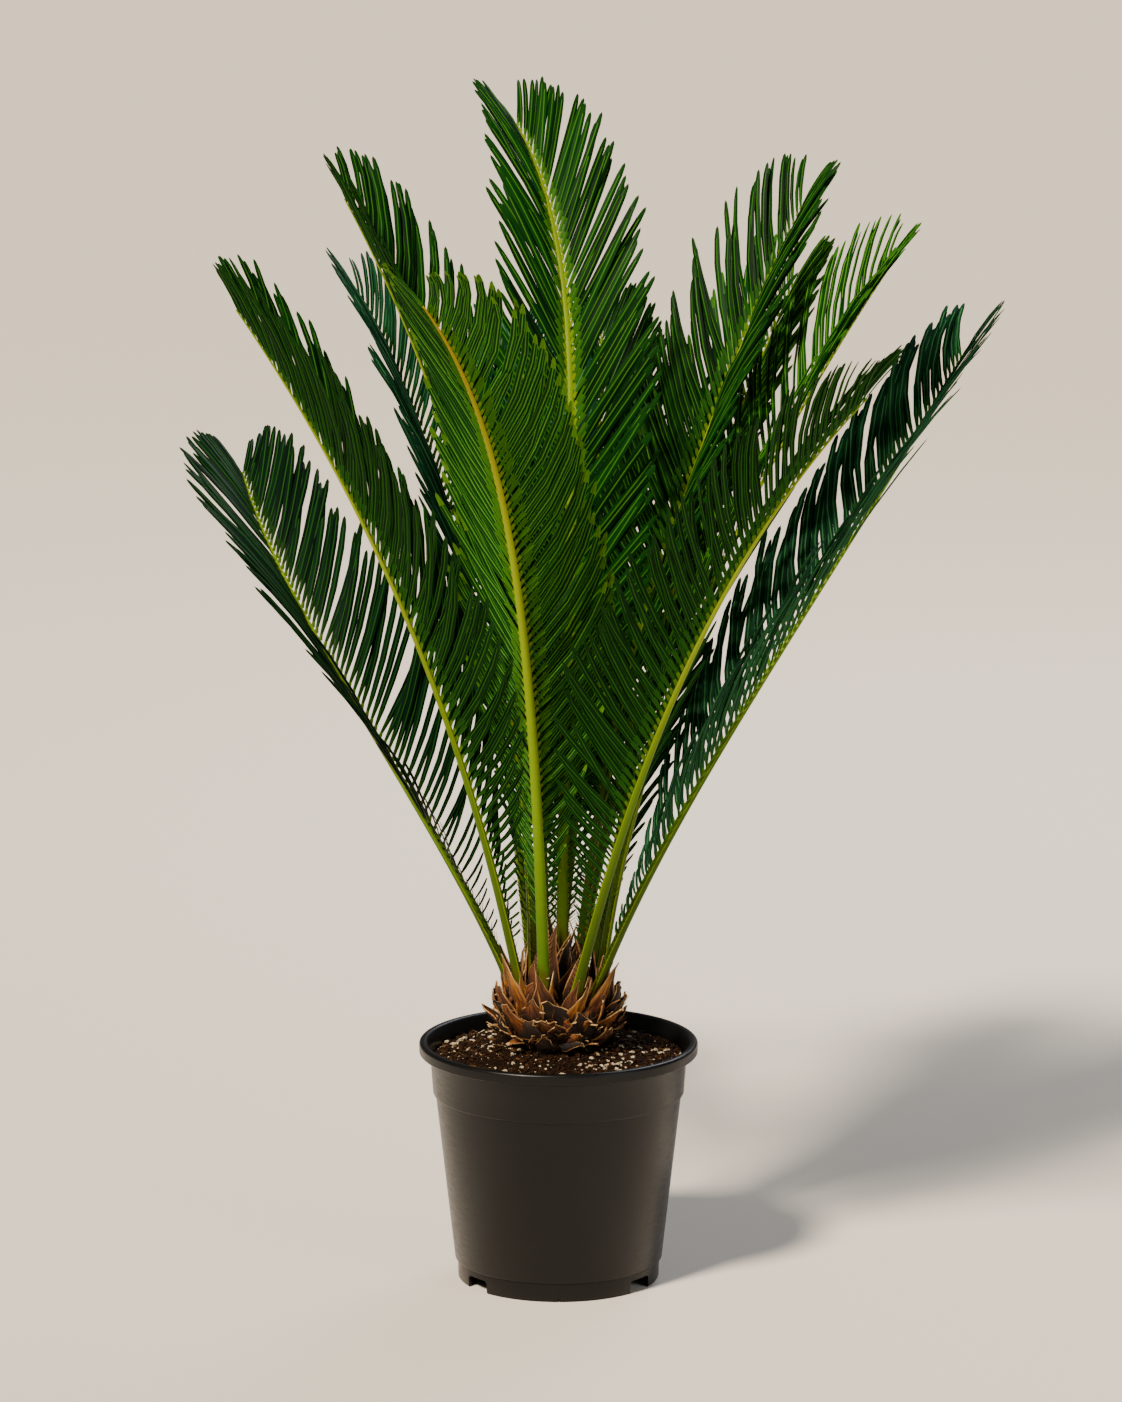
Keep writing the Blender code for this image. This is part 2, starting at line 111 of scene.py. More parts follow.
class Surface:
    """A material under construction, with the steps that the finishes share."""

    # A noise keeps mostly between these two values
    NOISE_LOW = 0.3
    NOISE_HIGH = 0.7

    def __init__(
        self, name: str, roughness: float = 0.5, ior: float = 1.5, specular: float = 0.5
    ) -> None:
        """Start the material with its plain values.

        Args:
            name: Name of the real finish.
            roughness: Its roughness, where no step sets it.
            ior: Its refractive index.
            specular: How much of the index's gloss it has, 0.5 for all of it.
        """
        self.material = bpy.data.materials.new(name)
        self.material.use_nodes = True
        self.tree = self.material.node_tree
        self.inputs = self.tree.nodes["Principled BSDF"].inputs
        self.inputs["Roughness"].default_value = roughness
        self.inputs["IOR"].default_value = ior
        self.inputs["Specular IOR Level"].default_value = specular

    def feed(self, name: str, socket: Socket) -> None:
        """Link a socket to an input of the shader."""
        self.tree.links.new(socket, self.inputs[name])

    def coords(self, kind: str) -> Socket:
        """Coordinates of one kind, Object or UV."""
        return add_node(self.tree, "TexCoord").outputs[kind]

    def stretched(self, place: Socket, scale: tuple[float, float, float]) -> Socket:
        """Coordinates with a scale along each axis."""
        return add_node(self.tree, "Mapping", {"Vector": place, "Scale": scale}).outputs["Vector"]

    def noise(self, place: Socket, scale: float, **more: float) -> Socket:
        """Add a noise texture.

        Args:
            place: The coordinates that it follows.
            scale: Its lumps in a metre, or across a UV map.
            **more: Its other inputs, Detail and Roughness.

        Returns:
            The noise, about a half.
        """
        inputs = {"Vector": place, "Scale": scale, **more}
        return add_node(self.tree, "TexNoise", inputs).outputs["Fac"]

    def ramp(self, share: Socket, stops: Stops) -> Socket:
        """Colours of a ramp at the places that the share gives."""
        return add_node(self.tree, "ValToRGB", {"Fac": share}, stops=stops).outputs["Color"]

    def spread(self, noise_value: Socket, low: float, high: float) -> Socket:
        """Spread a noise over a range.

        Args:
            noise_value: The noise.
            low: What it becomes where it is low.
            high: What it becomes where it is high.

        Returns:
            The value in that range.
        """
        inputs = {"Value": noise_value, "To Min": low, "To Max": high}
        inputs |= {"From Min": self.NOISE_LOW, "From Max": self.NOISE_HIGH}
        return add_node(self.tree, "MapRange", inputs).outputs["Result"]

    def paint(self, share: Socket, one: Socket | tuple, other: str) -> None:
        """Blend two colours as the base colour.

        Args:
            share: Share of the second colour.
            one: The first colour, linear or from a socket.
            other: The second colour, as sRGB hex.
        """
        inputs = {0: share, 6: one, 7: linear(other)}
        self.feed("Base Color", add_node(self.tree, "Mix", inputs, data_type="RGBA").outputs[2])

    def bump(self, height: Socket, distance: float, strength: float) -> None:
        """Give the surface a relief.

        Args:
            height: The noise that raises it.
            distance: How far that is, in metres.
            strength: How much of it shows.
        """
        inputs = {"Height": height, "Distance": distance, "Strength": strength}
        self.feed("Normal", add_node(self.tree, "Bump", inputs).outputs["Normal"])


@dataclass(frozen=True)
class LeafSkin:
    """Waxy skin of a living leaf: one plain green, with a gloss that the wax makes uneven.

    The skin's ripple is finer than a millimetre in life and is drawn at 3 mm so that it shows.
    """

    name: str
    colour: str
    roughness: float = 0.4
    smoother: float = 0.06
    rougher: float = 0.08
    ior: float = 1.45
    specular: float = 0.045
    patch: float = 75 * MM
    ripple: float = 3 * MM
    ripple_depth: float = 0.12 * MM

    def material(self) -> bpy.types.Material:
        """Build the material.

        Returns:
            The finished material.
        """
        skin = Surface(self.name, ior=self.ior, specular=self.specular)
        skin.inputs["Base Color"].default_value = linear(self.colour)
        place = skin.coords("Object")
        wax = skin.noise(place, 1 / self.patch)
        low, high = self.roughness - self.smoother, self.roughness + self.rougher
        skin.feed("Roughness", skin.spread(wax, low, high))
        skin.bump(skin.noise(place, 1 / self.ripple, Detail=2.0), self.ripple_depth, 0.6)
        return skin.material


@dataclass(frozen=True)
class StalkSkin:
    """Smooth rind of a frond's rib: brown and papery at its foot, green above, yellow to its tip.

    The colours run along the rib by its UV map, strayed a little by a mottle, with paler lines
    where the leaflets' bases run down its two edges.
    """

    name: str
    along: Stops
    edge: str
    roughness: float = 0.42
    ior: float = 1.45
    specular: float = 0.11
    edge_fade: Stops = ((0.0, "#ffffff"), (0.10, "#404040"), (0.25, "#000000"))
    mottle: float = 9 * MM
    stray: float = 0.012
    streaks: tuple[float, float, float] = (10.0, 60.0, 1.0)
    streak_depth: float = 0.3 * MM

    def material(self) -> bpy.types.Material:
        """Build the material.

        Returns:
            The finished material.
        """
        rind = Surface(self.name, self.roughness, self.ior, self.specular)
        run = rind.coords("UV")
        split = add_node(rind.tree, "SeparateXYZ", {"Vector": run}).outputs
        mottle = rind.noise(rind.coords("Object"), 1 / self.mottle, Detail=3.0)
        strayed = {0: split["Y"], 1: rind.spread(mottle, -self.stray, self.stray)}
        place = add_node(rind.tree, "Math", strayed, operation="ADD").outputs["Value"]
        edges = rind.ramp(split["X"], self.edge_fade)
        rind.paint(edges, rind.ramp(place, self.along), self.edge)
        grain = rind.noise(rind.stretched(run, self.streaks), 1.0, Detail=2.0)
        rind.bump(grain, self.streak_depth, 0.5)
        return rind.material


@dataclass(frozen=True)
class DryScale:
    """Dead leaf base: dry, fibrous and streaked along its length, darker at its foot."""

    name: str
    along: Stops
    streak: str
    roughness: float = 0.72
    ior: float = 1.4
    streaks: tuple[float, float, float] = (9.0, 1.3, 1.0)
    streak_fade: Stops = ((0.44, "#000000"), (0.56, "#f0f0f0"))
    streak_depth: float = 0.8 * MM

    def material(self) -> bpy.types.Material:
        """Build the material.

        Returns:
            The finished material.
        """
        scale = Surface(self.name, self.roughness, self.ior)
        run = scale.coords("UV")
        split = add_node(scale.tree, "SeparateXYZ", {"Vector": run}).outputs
        fibres = scale.noise(scale.stretched(run, self.streaks), 1.6, Detail=4.0, Roughness=0.7)
        mask = scale.ramp(fibres, self.streak_fade)
        scale.paint(mask, scale.ramp(split["Y"], self.along), self.streak)
        scale.bump(fibres, self.streak_depth, 0.8)
        return scale.material


@dataclass(frozen=True)
class Grit:
    """Rough mineral or woody crumb: matt, and mottled from dark to light by its grain."""

    name: str
    dark: str
    light: str
    grain: float
    depth: float
    roughness: float = 0.9
    ior: float = 1.45
    specular: float = 0.12
    darkest_at: float = 0.36
    lightest_at: float = 0.66

    def material(self) -> bpy.types.Material:
        """Build the material.

        Returns:
            The finished material.
        """
        grit = Surface(self.name, self.roughness, self.ior, self.specular)
        grain = grit.noise(grit.coords("Object"), 1 / self.grain, Detail=5.0, Roughness=0.65)
        stops = ((self.darkest_at, self.dark), (self.lightest_at, self.light))
        grit.feed("Base Color", grit.ramp(grain, stops))
        grit.bump(grain, self.depth, 0.9)
        return grit.material


@dataclass(frozen=True)
class MouldedPolypropylene:
    """Black polypropylene, blown thin: a satin skin with a fine orange peel and light scuffs.

    The peel is half a millimetre in life and is drawn at 1.5 mm so that it shows.
    """

    name: str = "moulded_polypropylene"
    colour: str = "#090909"
    dust: str = "#13120f"
    dust_cloud: float = 60 * MM
    dust_fade: Stops = ((0.40, "#000000"), (0.78, "#6a6a6a"))
    ior: float = 1.49
    specular: float = 0.23
    glossiest: float = 0.27
    dullest: float = 0.42
    scuff_length: float = 14 * MM
    scuff_level: tuple[float, float, float] = (1.0, 1.0, 6.0)
    peel: float = 1.5 * MM
    peel_depth: float = 0.05 * MM

    def material(self) -> bpy.types.Material:
        """Build the material.

        Returns:
            The finished material.
        """
        skin = Surface(self.name, ior=self.ior, specular=self.specular)
        place = skin.coords("Object")
        clouds = skin.noise(place, 1 / self.dust_cloud, Detail=5.0)
        skin.paint(skin.ramp(clouds, self.dust_fade), linear(self.colour), self.dust)
        level = skin.stretched(place, self.scuff_level)
        scuffs = skin.noise(level, 1 / self.scuff_length, Detail=8.0, Roughness=0.7)
        skin.feed("Roughness", skin.spread(scuffs, self.glossiest, self.dullest))
        skin.bump(skin.noise(place, 1 / self.peel, Detail=1.0), self.peel_depth, 0.35)
        return skin.material


# Colours of the fronds


@dataclass(frozen=True)
class FrondColours:
    """Plain colours of one frond's leaflets and the run of colour along its rib."""

    blades: tuple[str, str, str]
    under: str
    # Paler line, vein and margin: the midrib and rolled edges, partly painted highlight
    line: str
    vein: str
    margin: str
    neck: str
    base: str
    tip: str
    rib: Stops
    rib_edge: str


def rib_run(*colours: str, places: tuple[float, ...] = (0.09, 0.35, 0.7, 1.0)) -> Stops:
    """Colours along a rib, brown at its foot.

    Args:
        *colours: The colours above the brown foot, as sRGB hex.
        places: Their places along the rib.

    Returns:
        The stops of the colour ramp.
    """
    foot = ((0.0, "#3c1c08"), (0.03, "#5e3a0c"), (0.06, "#484a0a"))
    return (*foot, *zip(places, colours))


class Green(Enum):
    """The greens that the fronds come in."""

    DEEP = FrondColours(
        blades=("#041c06", "#072608", "#0a300a"), under="#072408",
        line="#2e6614", vein="#265a12", margin="#16440c",
        neck="#1b480c", base="#4c6c0a", tip="#10380c",
        rib=rib_run("#384c08", "#4e6a0a", "#84940c", "#72880e"),
        rib_edge="#7c8a12",
    )
    # A darker, bluer copy of the deep green: painted shade on the low frond at the left
    SHADED = FrondColours(
        blades=("#031409", "#051b0c", "#082411"), under="#061c0c",
        line="#1e4c18", vein="#1c4a16", margin="#0f3410",
        neck="#123208", base="#3c5a0a", tip="#0a280a",
        rib=rib_run("#344a08", "#44620a", "#728a0c", "#62800e"),
        rib_edge="#6c8010",
    )
    BLUE = FrondColours(
        blades=("#072818", "#0a321e", "#103e24"), under="#0a301c",
        line="#367240", vein="#2a6030", margin="#1a4c28",
        neck="#1a481a", base="#406410", tip="#123a26",
        rib=rib_run("#364a0a", "#40600e", "#6a8412", "#5c7c18"),
        rib_edge="#6e8218",
    )
    OLIVE = FrondColours(
        blades=("#082a0a", "#0c350d", "#124210"), under="#0b320c",
        line="#74a83e", vein="#4c8424", margin="#30701a",
        neck="#34620e", base="#687e08", tip="#4e7c16",
        rib=rib_run("#466608", "#6c8a00", "#869800", "#9c7e00", places=(0.09, 0.3, 0.6, 1.0)),
        rib_edge="#8c9808",
    )
    BRIGHT = FrondColours(
        blades=("#082c0a", "#0b360c", "#11420c"), under="#0e380c",
        line="#52901e", vein="#387616", margin="#2a6614",
        neck="#285a0c", base="#587a0a", tip="#2a6010",
        rib=rib_run("#40580a", "#5a780c", "#84960e", "#7a9010"),
        rib_edge="#8c9a14",
    )
    GOLD = FrondColours(
        blades=("#041f07", "#072a09", "#0b360b"), under="#072809",
        line="#386e16", vein="#2a6010", margin="#184a0c",
        neck="#2e5e0a", base="#6a8408", tip="#10380c",
        rib=rib_run("#3e540a", "#5c8000", "#749000", "#6a7e00"),
        rib_edge="#6c8c00",
    )


# The rule that the fronds grow by, as in the part's own source


@dataclass(frozen=True)
class Ring:
    """A ring of seats on the crown, where the stems of the fronds stand."""

    radius: float
    height: float


OUTER = Ring(42 * MM, 264 * MM)
INNER = Ring(24 * MM, 282 * MM)


@dataclass(frozen=True)
class FrondShape:
    """How one frond grows from its seat; angles in degrees, length of the rib in metres.

    It leaves the crown towards `bearing`, at `rise` above level. Along the rib it bows down by
    `bend` and swings sideways by `sweep`, early for a small `bow` and late for a large one.
    `roll` turns the blade about its rib, and `hook` is how far its leaflets curl to the tip. The
    leaflets stand like slats, turned by `tilt` about their own length, and `taper` is how early
    the rib grows thin. The leaflets at its tip have the share `last` of the longest one's length,
    and the lowest ones lean on the rib by `closed` more than on most fronds.
    """

    name: str
    ring: Ring
    seat: float
    bearing: float
    rise: float
    bend: float
    sweep: float
    bow: float
    length: float
    green: Green
    roll: float = 0
    hook: float = 16
    tilt: float = -25
    taper: float = 1.25
    last: float = 0.32
    closed: float = 0


FRONDS = (
    FrondShape(
        "frond_centre_back", INNER, 81.9, 75, 88.1, 53.2, 42.7, 1.97, 0.934, Green.GOLD,
        hook=10, taper=0.6, last=0.38,
    ),
    FrondShape(
        "frond_front", OUTER, 252.1, 260.4, 79.9, 40.3, -19.8, 1.9, 0.871, Green.OLIVE,
        hook=44, taper=0.8, closed=9,
    ),
    FrondShape("frond_right_tall", INNER, 38.1, 36.1, 88.4, 34.7, 9.9, 0.7, 0.849, Green.DEEP),
    FrondShape(
        "frond_left_tall", INNER, 170.4, 145.2, 89.3, 29.4, 16.9, 1.13, 0.836, Green.DEEP, tilt=20
    ),
    FrondShape(
        "frond_left", OUTER, 225.6, 199.8, 78.7, 23.0, -23.3, 1.24, 0.791, Green.DEEP, tilt=25
    ),
    FrondShape(
        "frond_far_right", OUTER, 304.6, 347.8, 75.8, 37.5, 68.5, 0.62, 0.818, Green.BLUE,
        roll=-12, hook=30, tilt=10, last=0.42, closed=18,
    ),
    FrondShape("frond_front_right", OUTER, 280.0, 308.9, 69.7, 24.1, 18.8, 1.59, 0.790, Green.DEEP),
    FrondShape("frond_right", OUTER, 23.4, 21.8, 86.7, 34.7, 2.6, 0.73, 0.820, Green.BRIGHT),
    FrondShape("frond_low_left", OUTER, 146.6, 179.2, 72.3, 46.4, -76.8, 0.74, 0.707, Green.SHADED),
    FrondShape(
        "frond_back_left", OUTER, 122.0, 117.8, 78.3, 34.6, 11.6, 1.46, 0.775, Green.BLUE, roll=12
    ),
    FrondShape("frond_back_right", OUTER, 72.7, 49.7, 77.6, 26.2, 1.1, 0.76, 0.796, Green.BRIGHT),
    FrondShape("frond_rear_right", OUTER, 48.1, 58.2, 69.8, 8.6, 14.2, 1.09, 0.622, Green.DEEP),
    FrondShape("frond_rear", OUTER, 97.4, 76.8, 59.7, 8.4, 13.0, 1.09, 0.760, Green.DEEP),
    FrondShape("frond_rear_left", INNER, 125.8, 91.9, 71.0, 25.9, 3.7, 1.09, 0.716, Green.BLUE),
)


class Rib:
    """The line of a frond's rib, with its direction and sides anywhere along it."""

    STEPS = 90
    FOOT_WIDTH = 13 * MM
    TIP_WIDTH = 1.8 * MM

    def __init__(self, shape: FrondShape) -> None:
        """Walk the rib from its seat in short steps.

        Args:
            shape: The frond that the rib belongs to.
        """
        self.shape = shape
        seat = math.radians(shape.seat)
        radius = shape.ring.radius
        point = Vector((radius * math.cos(seat), radius * math.sin(seat), shape.ring.height))
        self.points = [point.copy()]
        for step in range(self.STEPS):
            share = (step + 0.5) / self.STEPS
            point += self.direction(share) * shape.length / self.STEPS
            self.points.append(point.copy())

    def angles(self, share: float) -> tuple[float, float]:
        """Work out how the rib points.

        Args:
            share: Place along the rib, 0 at its foot and 1 at its tip.

        Returns:
            Rise above level and bearing, in radians.
        """
        bowed = share**self.shape.bow
        return (
            math.radians(self.shape.rise - self.shape.bend * bowed),
            math.radians(self.shape.bearing + self.shape.sweep * bowed),
        )

    def direction(self, share: float) -> Vector:
        """Unit vector along the rib.

        Args:
            share: Place along the rib.

        Returns:
            The direction towards the tip.
        """
        rise, bearing = self.angles(share)
        level = math.cos(rise)
        return Vector((level * math.cos(bearing), level * math.sin(bearing), math.sin(rise)))

    def at(self, share: float) -> tuple[Vector, Vector, Vector, Vector]:
        """Find the rib's place and sides.

        Args:
            share: Place along the rib.

        Returns:
            The point, and unit vectors along the rib, to its upper side and to its right side.
        """
        where = share * self.STEPS
        step = min(int(where), self.STEPS - 1)
        point = self.points[step].lerp(self.points[step + 1], where - step)
        along = self.direction(share)
        rise, bearing = self.angles(share)
        back = -math.sin(rise)
        upper = Vector((back * math.cos(bearing), back * math.sin(bearing), math.cos(rise)))
        upper = Matrix.Rotation(math.radians(self.shape.roll), 3, along) @ upper
        return point, along, upper, along.cross(upper)

    def width(self, share: float) -> float:
        """Width of the rib at a place along it."""
        left = (1 - share) ** self.shape.taper
        return self.TIP_WIDTH + (self.FOOT_WIDTH - self.TIP_WIDTH) * left


# Objects and meshes


def add_object(name: str, data: bpy.types.ID) -> bpy.types.Object:
    """Put an object with this data in the scene.

    Args:
        name: Name of the object.
        data: Its mesh, light or camera.

    Returns:
        The new object.
    """
    made = bpy.data.objects.new(name, data)
    bpy.context.scene.collection.objects.link(made)
    return made


def finished_mesh(name: str, bm: bmesh.types.BMesh) -> bpy.types.Mesh:
    """Turn a model into a mesh.

    Args:
        name: Name of the mesh.
        bm: The model, which is freed.

    Returns:
        The mesh.
    """
    mesh = bpy.data.meshes.new(name)
    bm.to_mesh(mesh)
    bm.free()
    return mesh


def rotation(degrees: float, axis: str) -> Matrix:
    """Rotation about an axis."""
    return Matrix.Rotation(math.radians(degrees), 4, axis)


def lumps(place: Vector) -> float:
    """Height of lumpy ground at a place, mostly between -1 and 1."""
    return noise.fractal(place, 1.0, 2.0, 4)


def new_piece(
    name: str,
    mesh: bpy.types.Mesh,
    materials: list[bpy.types.Material],
    node: str,
    sharp: float = 40,
) -> bpy.types.Object:
    """Put a finished mesh on the frame.

    Args:
        name: Name of the piece.
        mesh: Its mesh, in place.
        materials: Its materials, in the order of the faces' numbers.
        node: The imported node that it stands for.
        sharp: Edges sharper than this angle, in degrees, stay sharp.

    Returns:
        The new object.
    """
    piece = add_object(name, mesh)
    for material in materials:
        mesh.materials.append(material)
    mesh.shade_smooth()
    mesh.set_sharp_from_angle(angle=math.radians(sharp))
    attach(piece, BODY)
    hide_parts(node)
    mesh.calc_loop_triangles()
    LOG.info("%s: %d triangles", name, len(mesh.loop_triangles))
    return piece


@dataclass
class LeafletPattern:
    """Cross-section and outline that every leaflet of the plant shares.

    The section is a shallow roof above and has rolled margins and a raised midrib below. It goes
    round from the left margin in halves of the width, and the outline gives for each station its
    place along the leaflet and its share of the full width.
    """

    section: tuple[tuple[float, float], ...] = (
        (-1.0, -0.06),
        (-0.17, 0.2),
        (0.17, 0.2),
        (1.0, -0.06),
        (0.8, -0.18),
        (0.2, 0.03),
        (0.0, -0.14),
        (-0.2, 0.03),
        (-0.8, -0.18),
    )
    outline: tuple[tuple[float, float], ...] = (
        (0.0, 0.62),
        (0.04, 0.46),
        (0.15, 0.8),
        (0.4, 1.0),
        (0.72, 1.0),
        (0.9, 0.84),
        (0.975, 0.5),
    )

    def places(self) -> np.ndarray:
        """Places of the outline's stations along a leaflet, and of its tip."""
        return np.array([place for place, _ in self.outline] + [1.0])

    def widths(self) -> np.ndarray:
        """Shares of the full width at the outline's stations."""
        return np.array([width for _, width in self.outline])

    def faces(self) -> tuple[np.ndarray, list[list[int]]]:
        """Faces of one leaflet, by the numbers of its vertices, ring by ring and then the tip.

        Returns:
            The four-sided faces, and the triangles at the tip with the cap at the foot.
        """
        count = len(self.section)
        rings = len(self.outline)
        last = (rings - 1) * count
        quads = [
            (low + i, low + (i + 1) % count, low + count + (i + 1) % count, low + count + i)
            for low in range(0, last, count)
            for i in range(count)
        ]
        ends = [[last + i, last + (i + 1) % count, rings * count] for i in range(count)]
        ends.append(list(range(count))[::-1])
        return np.array(quads), ends


class Part(Enum):
    """The parts of a leaflet, in the order of a frond's materials after its three blade tones."""

    UNDER = 3
    LINE = 4
    VEIN = 5
    BASE = 6
    TIP = 7
    MARGIN = 8
    NECK = 9


@dataclass(frozen=True)
class Stray:
    """How far leaflets stray by themselves.

    The place strays by a share of the pitch, and length, hook and droop by a share of themselves.
    The others stray by degrees.
    """

    place: float = 0.12
    length: float = 0.025
    hook: float = 0.2
    droop: float = 0.3
    lean: float = 1.8
    lift: float = 3.0
    tilt: float = 5
    twist: float = 9


@dataclass
class Foliage:
    """The leaflets of one frond: two rows on the rib, lifted to a V and curling to its tip.

    They start at `start` of the rib, a `pitch` apart. Their lengths grow from `first` of the
    longest to all of it at `full_at` and shrink from `shrink_from` on. They lean on the rib by
    `forward` degrees at the lowest and the last, and stand over its plane by `lift`. Neighbours
    lean together by `bunching` degrees, in waves of `bunch_step` a pair that wander a little.
    """

    rib: Rib
    seed: int
    pattern: LeafletPattern
    pitch: float = 9.2 * MM
    start: float = 0.12
    longest: float = 150 * MM
    first: float = 0.10
    full_at: float = 0.34
    shrink_from: float = 0.5
    shrink_power: float = 5
    forward: tuple[float, float] = (58, 20)
    lift: tuple[float, float] = (42, 26)
    width: float = 6.9 * MM
    slimming: float = 0.45
    droop: float = 16
    droop_level: float = 0.45
    turned_at: float = 0.12
    stagger: float = 0.2
    foot_out: float = 0.33
    foot_up: float = 0.16
    foot_back: float = 0.12
    foot_reach: float = 0.48
    clearance: float = 3 * MM
    cut_back: float = 0.86
    stub: float = 0.2
    bunching: float = 2.2
    bunch_step: float = 1.3
    bunch_wander: float = 2.5
    bunch_wave: float = 23
    stray: Stray = Stray()

    def length_share(self, along: np.ndarray) -> np.ndarray:
        """Length of the leaflets as a share of the longest.

        Args:
            along: Places among the leaflets, 0 for the lowest and 1 for the last.

        Returns:
            The share for each.
        """
        opening = np.minimum(along / self.full_at, 1)
        rising = self.first + (1 - self.first) * (1 - np.cos(opening * math.pi)) / 2
        closing = np.maximum(along - self.shrink_from, 0) / (1 - self.shrink_from)
        return rising * (1 - (1 - self.rib.shape.last) * closing**self.shrink_power)

    def rows(self) -> dict[str, np.ndarray]:
        """Lay out both rows of leaflets.

        Returns:
            Arrays with a row for each leaflet: its side, place, foot, the rib's directions, and
            its length and lean with the small differences that grow by themselves.
        """
        rng = np.random.default_rng(self.seed)
        shape = self.rib.shape
        stray = self.stray
        pairs = round(shape.length * (1 - self.start) / self.pitch)
        laid = []
        for number in range(pairs):
            for side in (1, -1):
                place = number + 0.5 + self.stagger * side
                along = (place + rng.uniform(-stray.place, stray.place)) / pairs
                share = self.start + (1 - self.start) * min(max(along, 0), 1)
                point, forward, upper, right = self.rib.at(share)
                width = self.rib.width(share)
                foot = point + right * side * width * self.foot_out + upper * width * self.foot_up
                laid.append((side, along, foot, forward, upper, right))
        keys = ("side", "along", "foot", "f", "u", "r")
        rows = {key: np.array(column, float) for key, column in zip(keys, zip(*laid))}
        count = len(laid)
        along = rows["along"]
        length = rng.normal(1, stray.length, count)
        rows["length"] = self.longest * self.length_share(along) * length
        wander = self.bunch_wander * np.sin(along * self.bunch_wave + rows["side"])
        bunch = np.sin(along * pairs * self.bunch_step + wander)
        lean = self.forward[0] + (self.forward[1] - self.forward[0]) * along
        lean = lean - shape.closed * (1 - along) + self.bunching * bunch
        rows["lean"] = lean + rng.normal(0, stray.lean, count)
        lift = self.lift[0] + (self.lift[1] - self.lift[0]) * along
        rows["lift"] = lift + rng.normal(0, stray.lift, count)
        rows["hook"] = shape.hook * rng.normal(1, stray.hook, count)
        rows["droop"] = self.droop * rng.normal(1, stray.droop, count)
        rows["tilt"] = rows["side"] * shape.tilt + rng.normal(0, stray.tilt, count)
        rows["twist"] = rng.normal(0, stray.twist, count)
        rows["tone"] = rng.integers(0, 3, count)
        return rows

    def paths(self, rows: dict[str, np.ndarray], fine: int = 24) -> dict[str, np.ndarray]:
        """Bend each leaflet's middle line.

        Args:
            rows: The leaflets, as laid out.
            fine: Steps in which a line is walked.

        Returns:
            Points and unit vectors along, across and out of each leaflet at the outline's places
            and, last, at its tip.
        """
        side = rows["side"][:, None]
        lift = np.radians(rows["lift"])[:, None]
        out = rows["r"] * side * np.cos(lift) + rows["u"] * np.sin(lift)
        normal = np.cross(out, rows["f"]) * side
        steps = (np.arange(fine) + 0.5) / fine
        lean = np.radians(rows["lean"][:, None] + rows["hook"][:, None] * (0.5 - steps))
        fall = np.radians(rows["droop"][:, None] * (self.droop_level - steps))
        level = (
            np.cos(lean)[..., None] * rows["f"][:, None] + np.sin(lean)[..., None] * out[:, None]
        )
        way = level * np.cos(fall)[..., None] + normal[:, None] * np.sin(fall)[..., None]
        walked = np.cumsum(way * (rows["length"] / fine)[:, None, None], axis=1)
        walked = np.concatenate([np.zeros_like(walked[:, :1]), walked], axis=1)
        places = self.pattern.places() * fine
        low = np.minimum(places.astype(int), fine - 1)
        part = (places - low)[None, :, None]
        points = walked[:, low] * (1 - part) + walked[:, low + 1] * part
        along = way[:, low]
        across = np.cross(along, normal[:, None])
        across /= np.linalg.norm(across, axis=2, keepdims=True)
        upper = np.cross(across, along)
        run = places[None] / fine
        turn = rows["tilt"][:, None] * np.minimum(run / self.turned_at, 1)
        twist = np.radians(turn + rows["twist"][:, None] * run)[..., None]
        return {
            "point": rows["foot"][:, None] + points,
            "across": across * np.cos(twist) + upper * np.sin(twist),
            "upper": upper * np.cos(twist) - across * np.sin(twist),
        }

    def clear_of(self, rows: dict[str, np.ndarray], others: np.ndarray) -> np.ndarray:
        """Find how far each leaflet runs before another frond's rib is in its way.

        Args:
            rows: The leaflets, as laid out.
            others: Points on the other ribs, with the rib's half width there in a fourth column.

        Returns:
            The share of its length that each leaflet may keep.
        """
        points = self.paths(rows)["point"]
        keep = np.ones(len(points))
        places = self.pattern.places()
        for number in range(len(places) - 1, 0, -1):
            gaps = np.linalg.norm(points[:, number, None] - others[None, :, :3], axis=2)
            hit = (gaps - others[None, :, 3]).min(axis=1) < self.clearance
            keep[hit] = places[number] * self.cut_back
        return keep

    def build(self, others: np.ndarray) -> bpy.types.Object:
        """Build the frond's leaflets as one joined mesh.

        Args:
            others: Points on the ribs that the leaflets keep clear of.

        Returns:
            The finished piece.
        """
        rows = self.rows()
        keep = self.clear_of(rows, others)
        rows["length"] = rows["length"] * keep
        rows = {key: value[keep > self.stub] for key, value in rows.items()}
        lines = self.paths(rows)
        size = (rows["length"] / self.longest) ** self.slimming
        half = self.width / 2 * size[:, None] * self.pattern.widths()
        section = np.array(self.pattern.section)
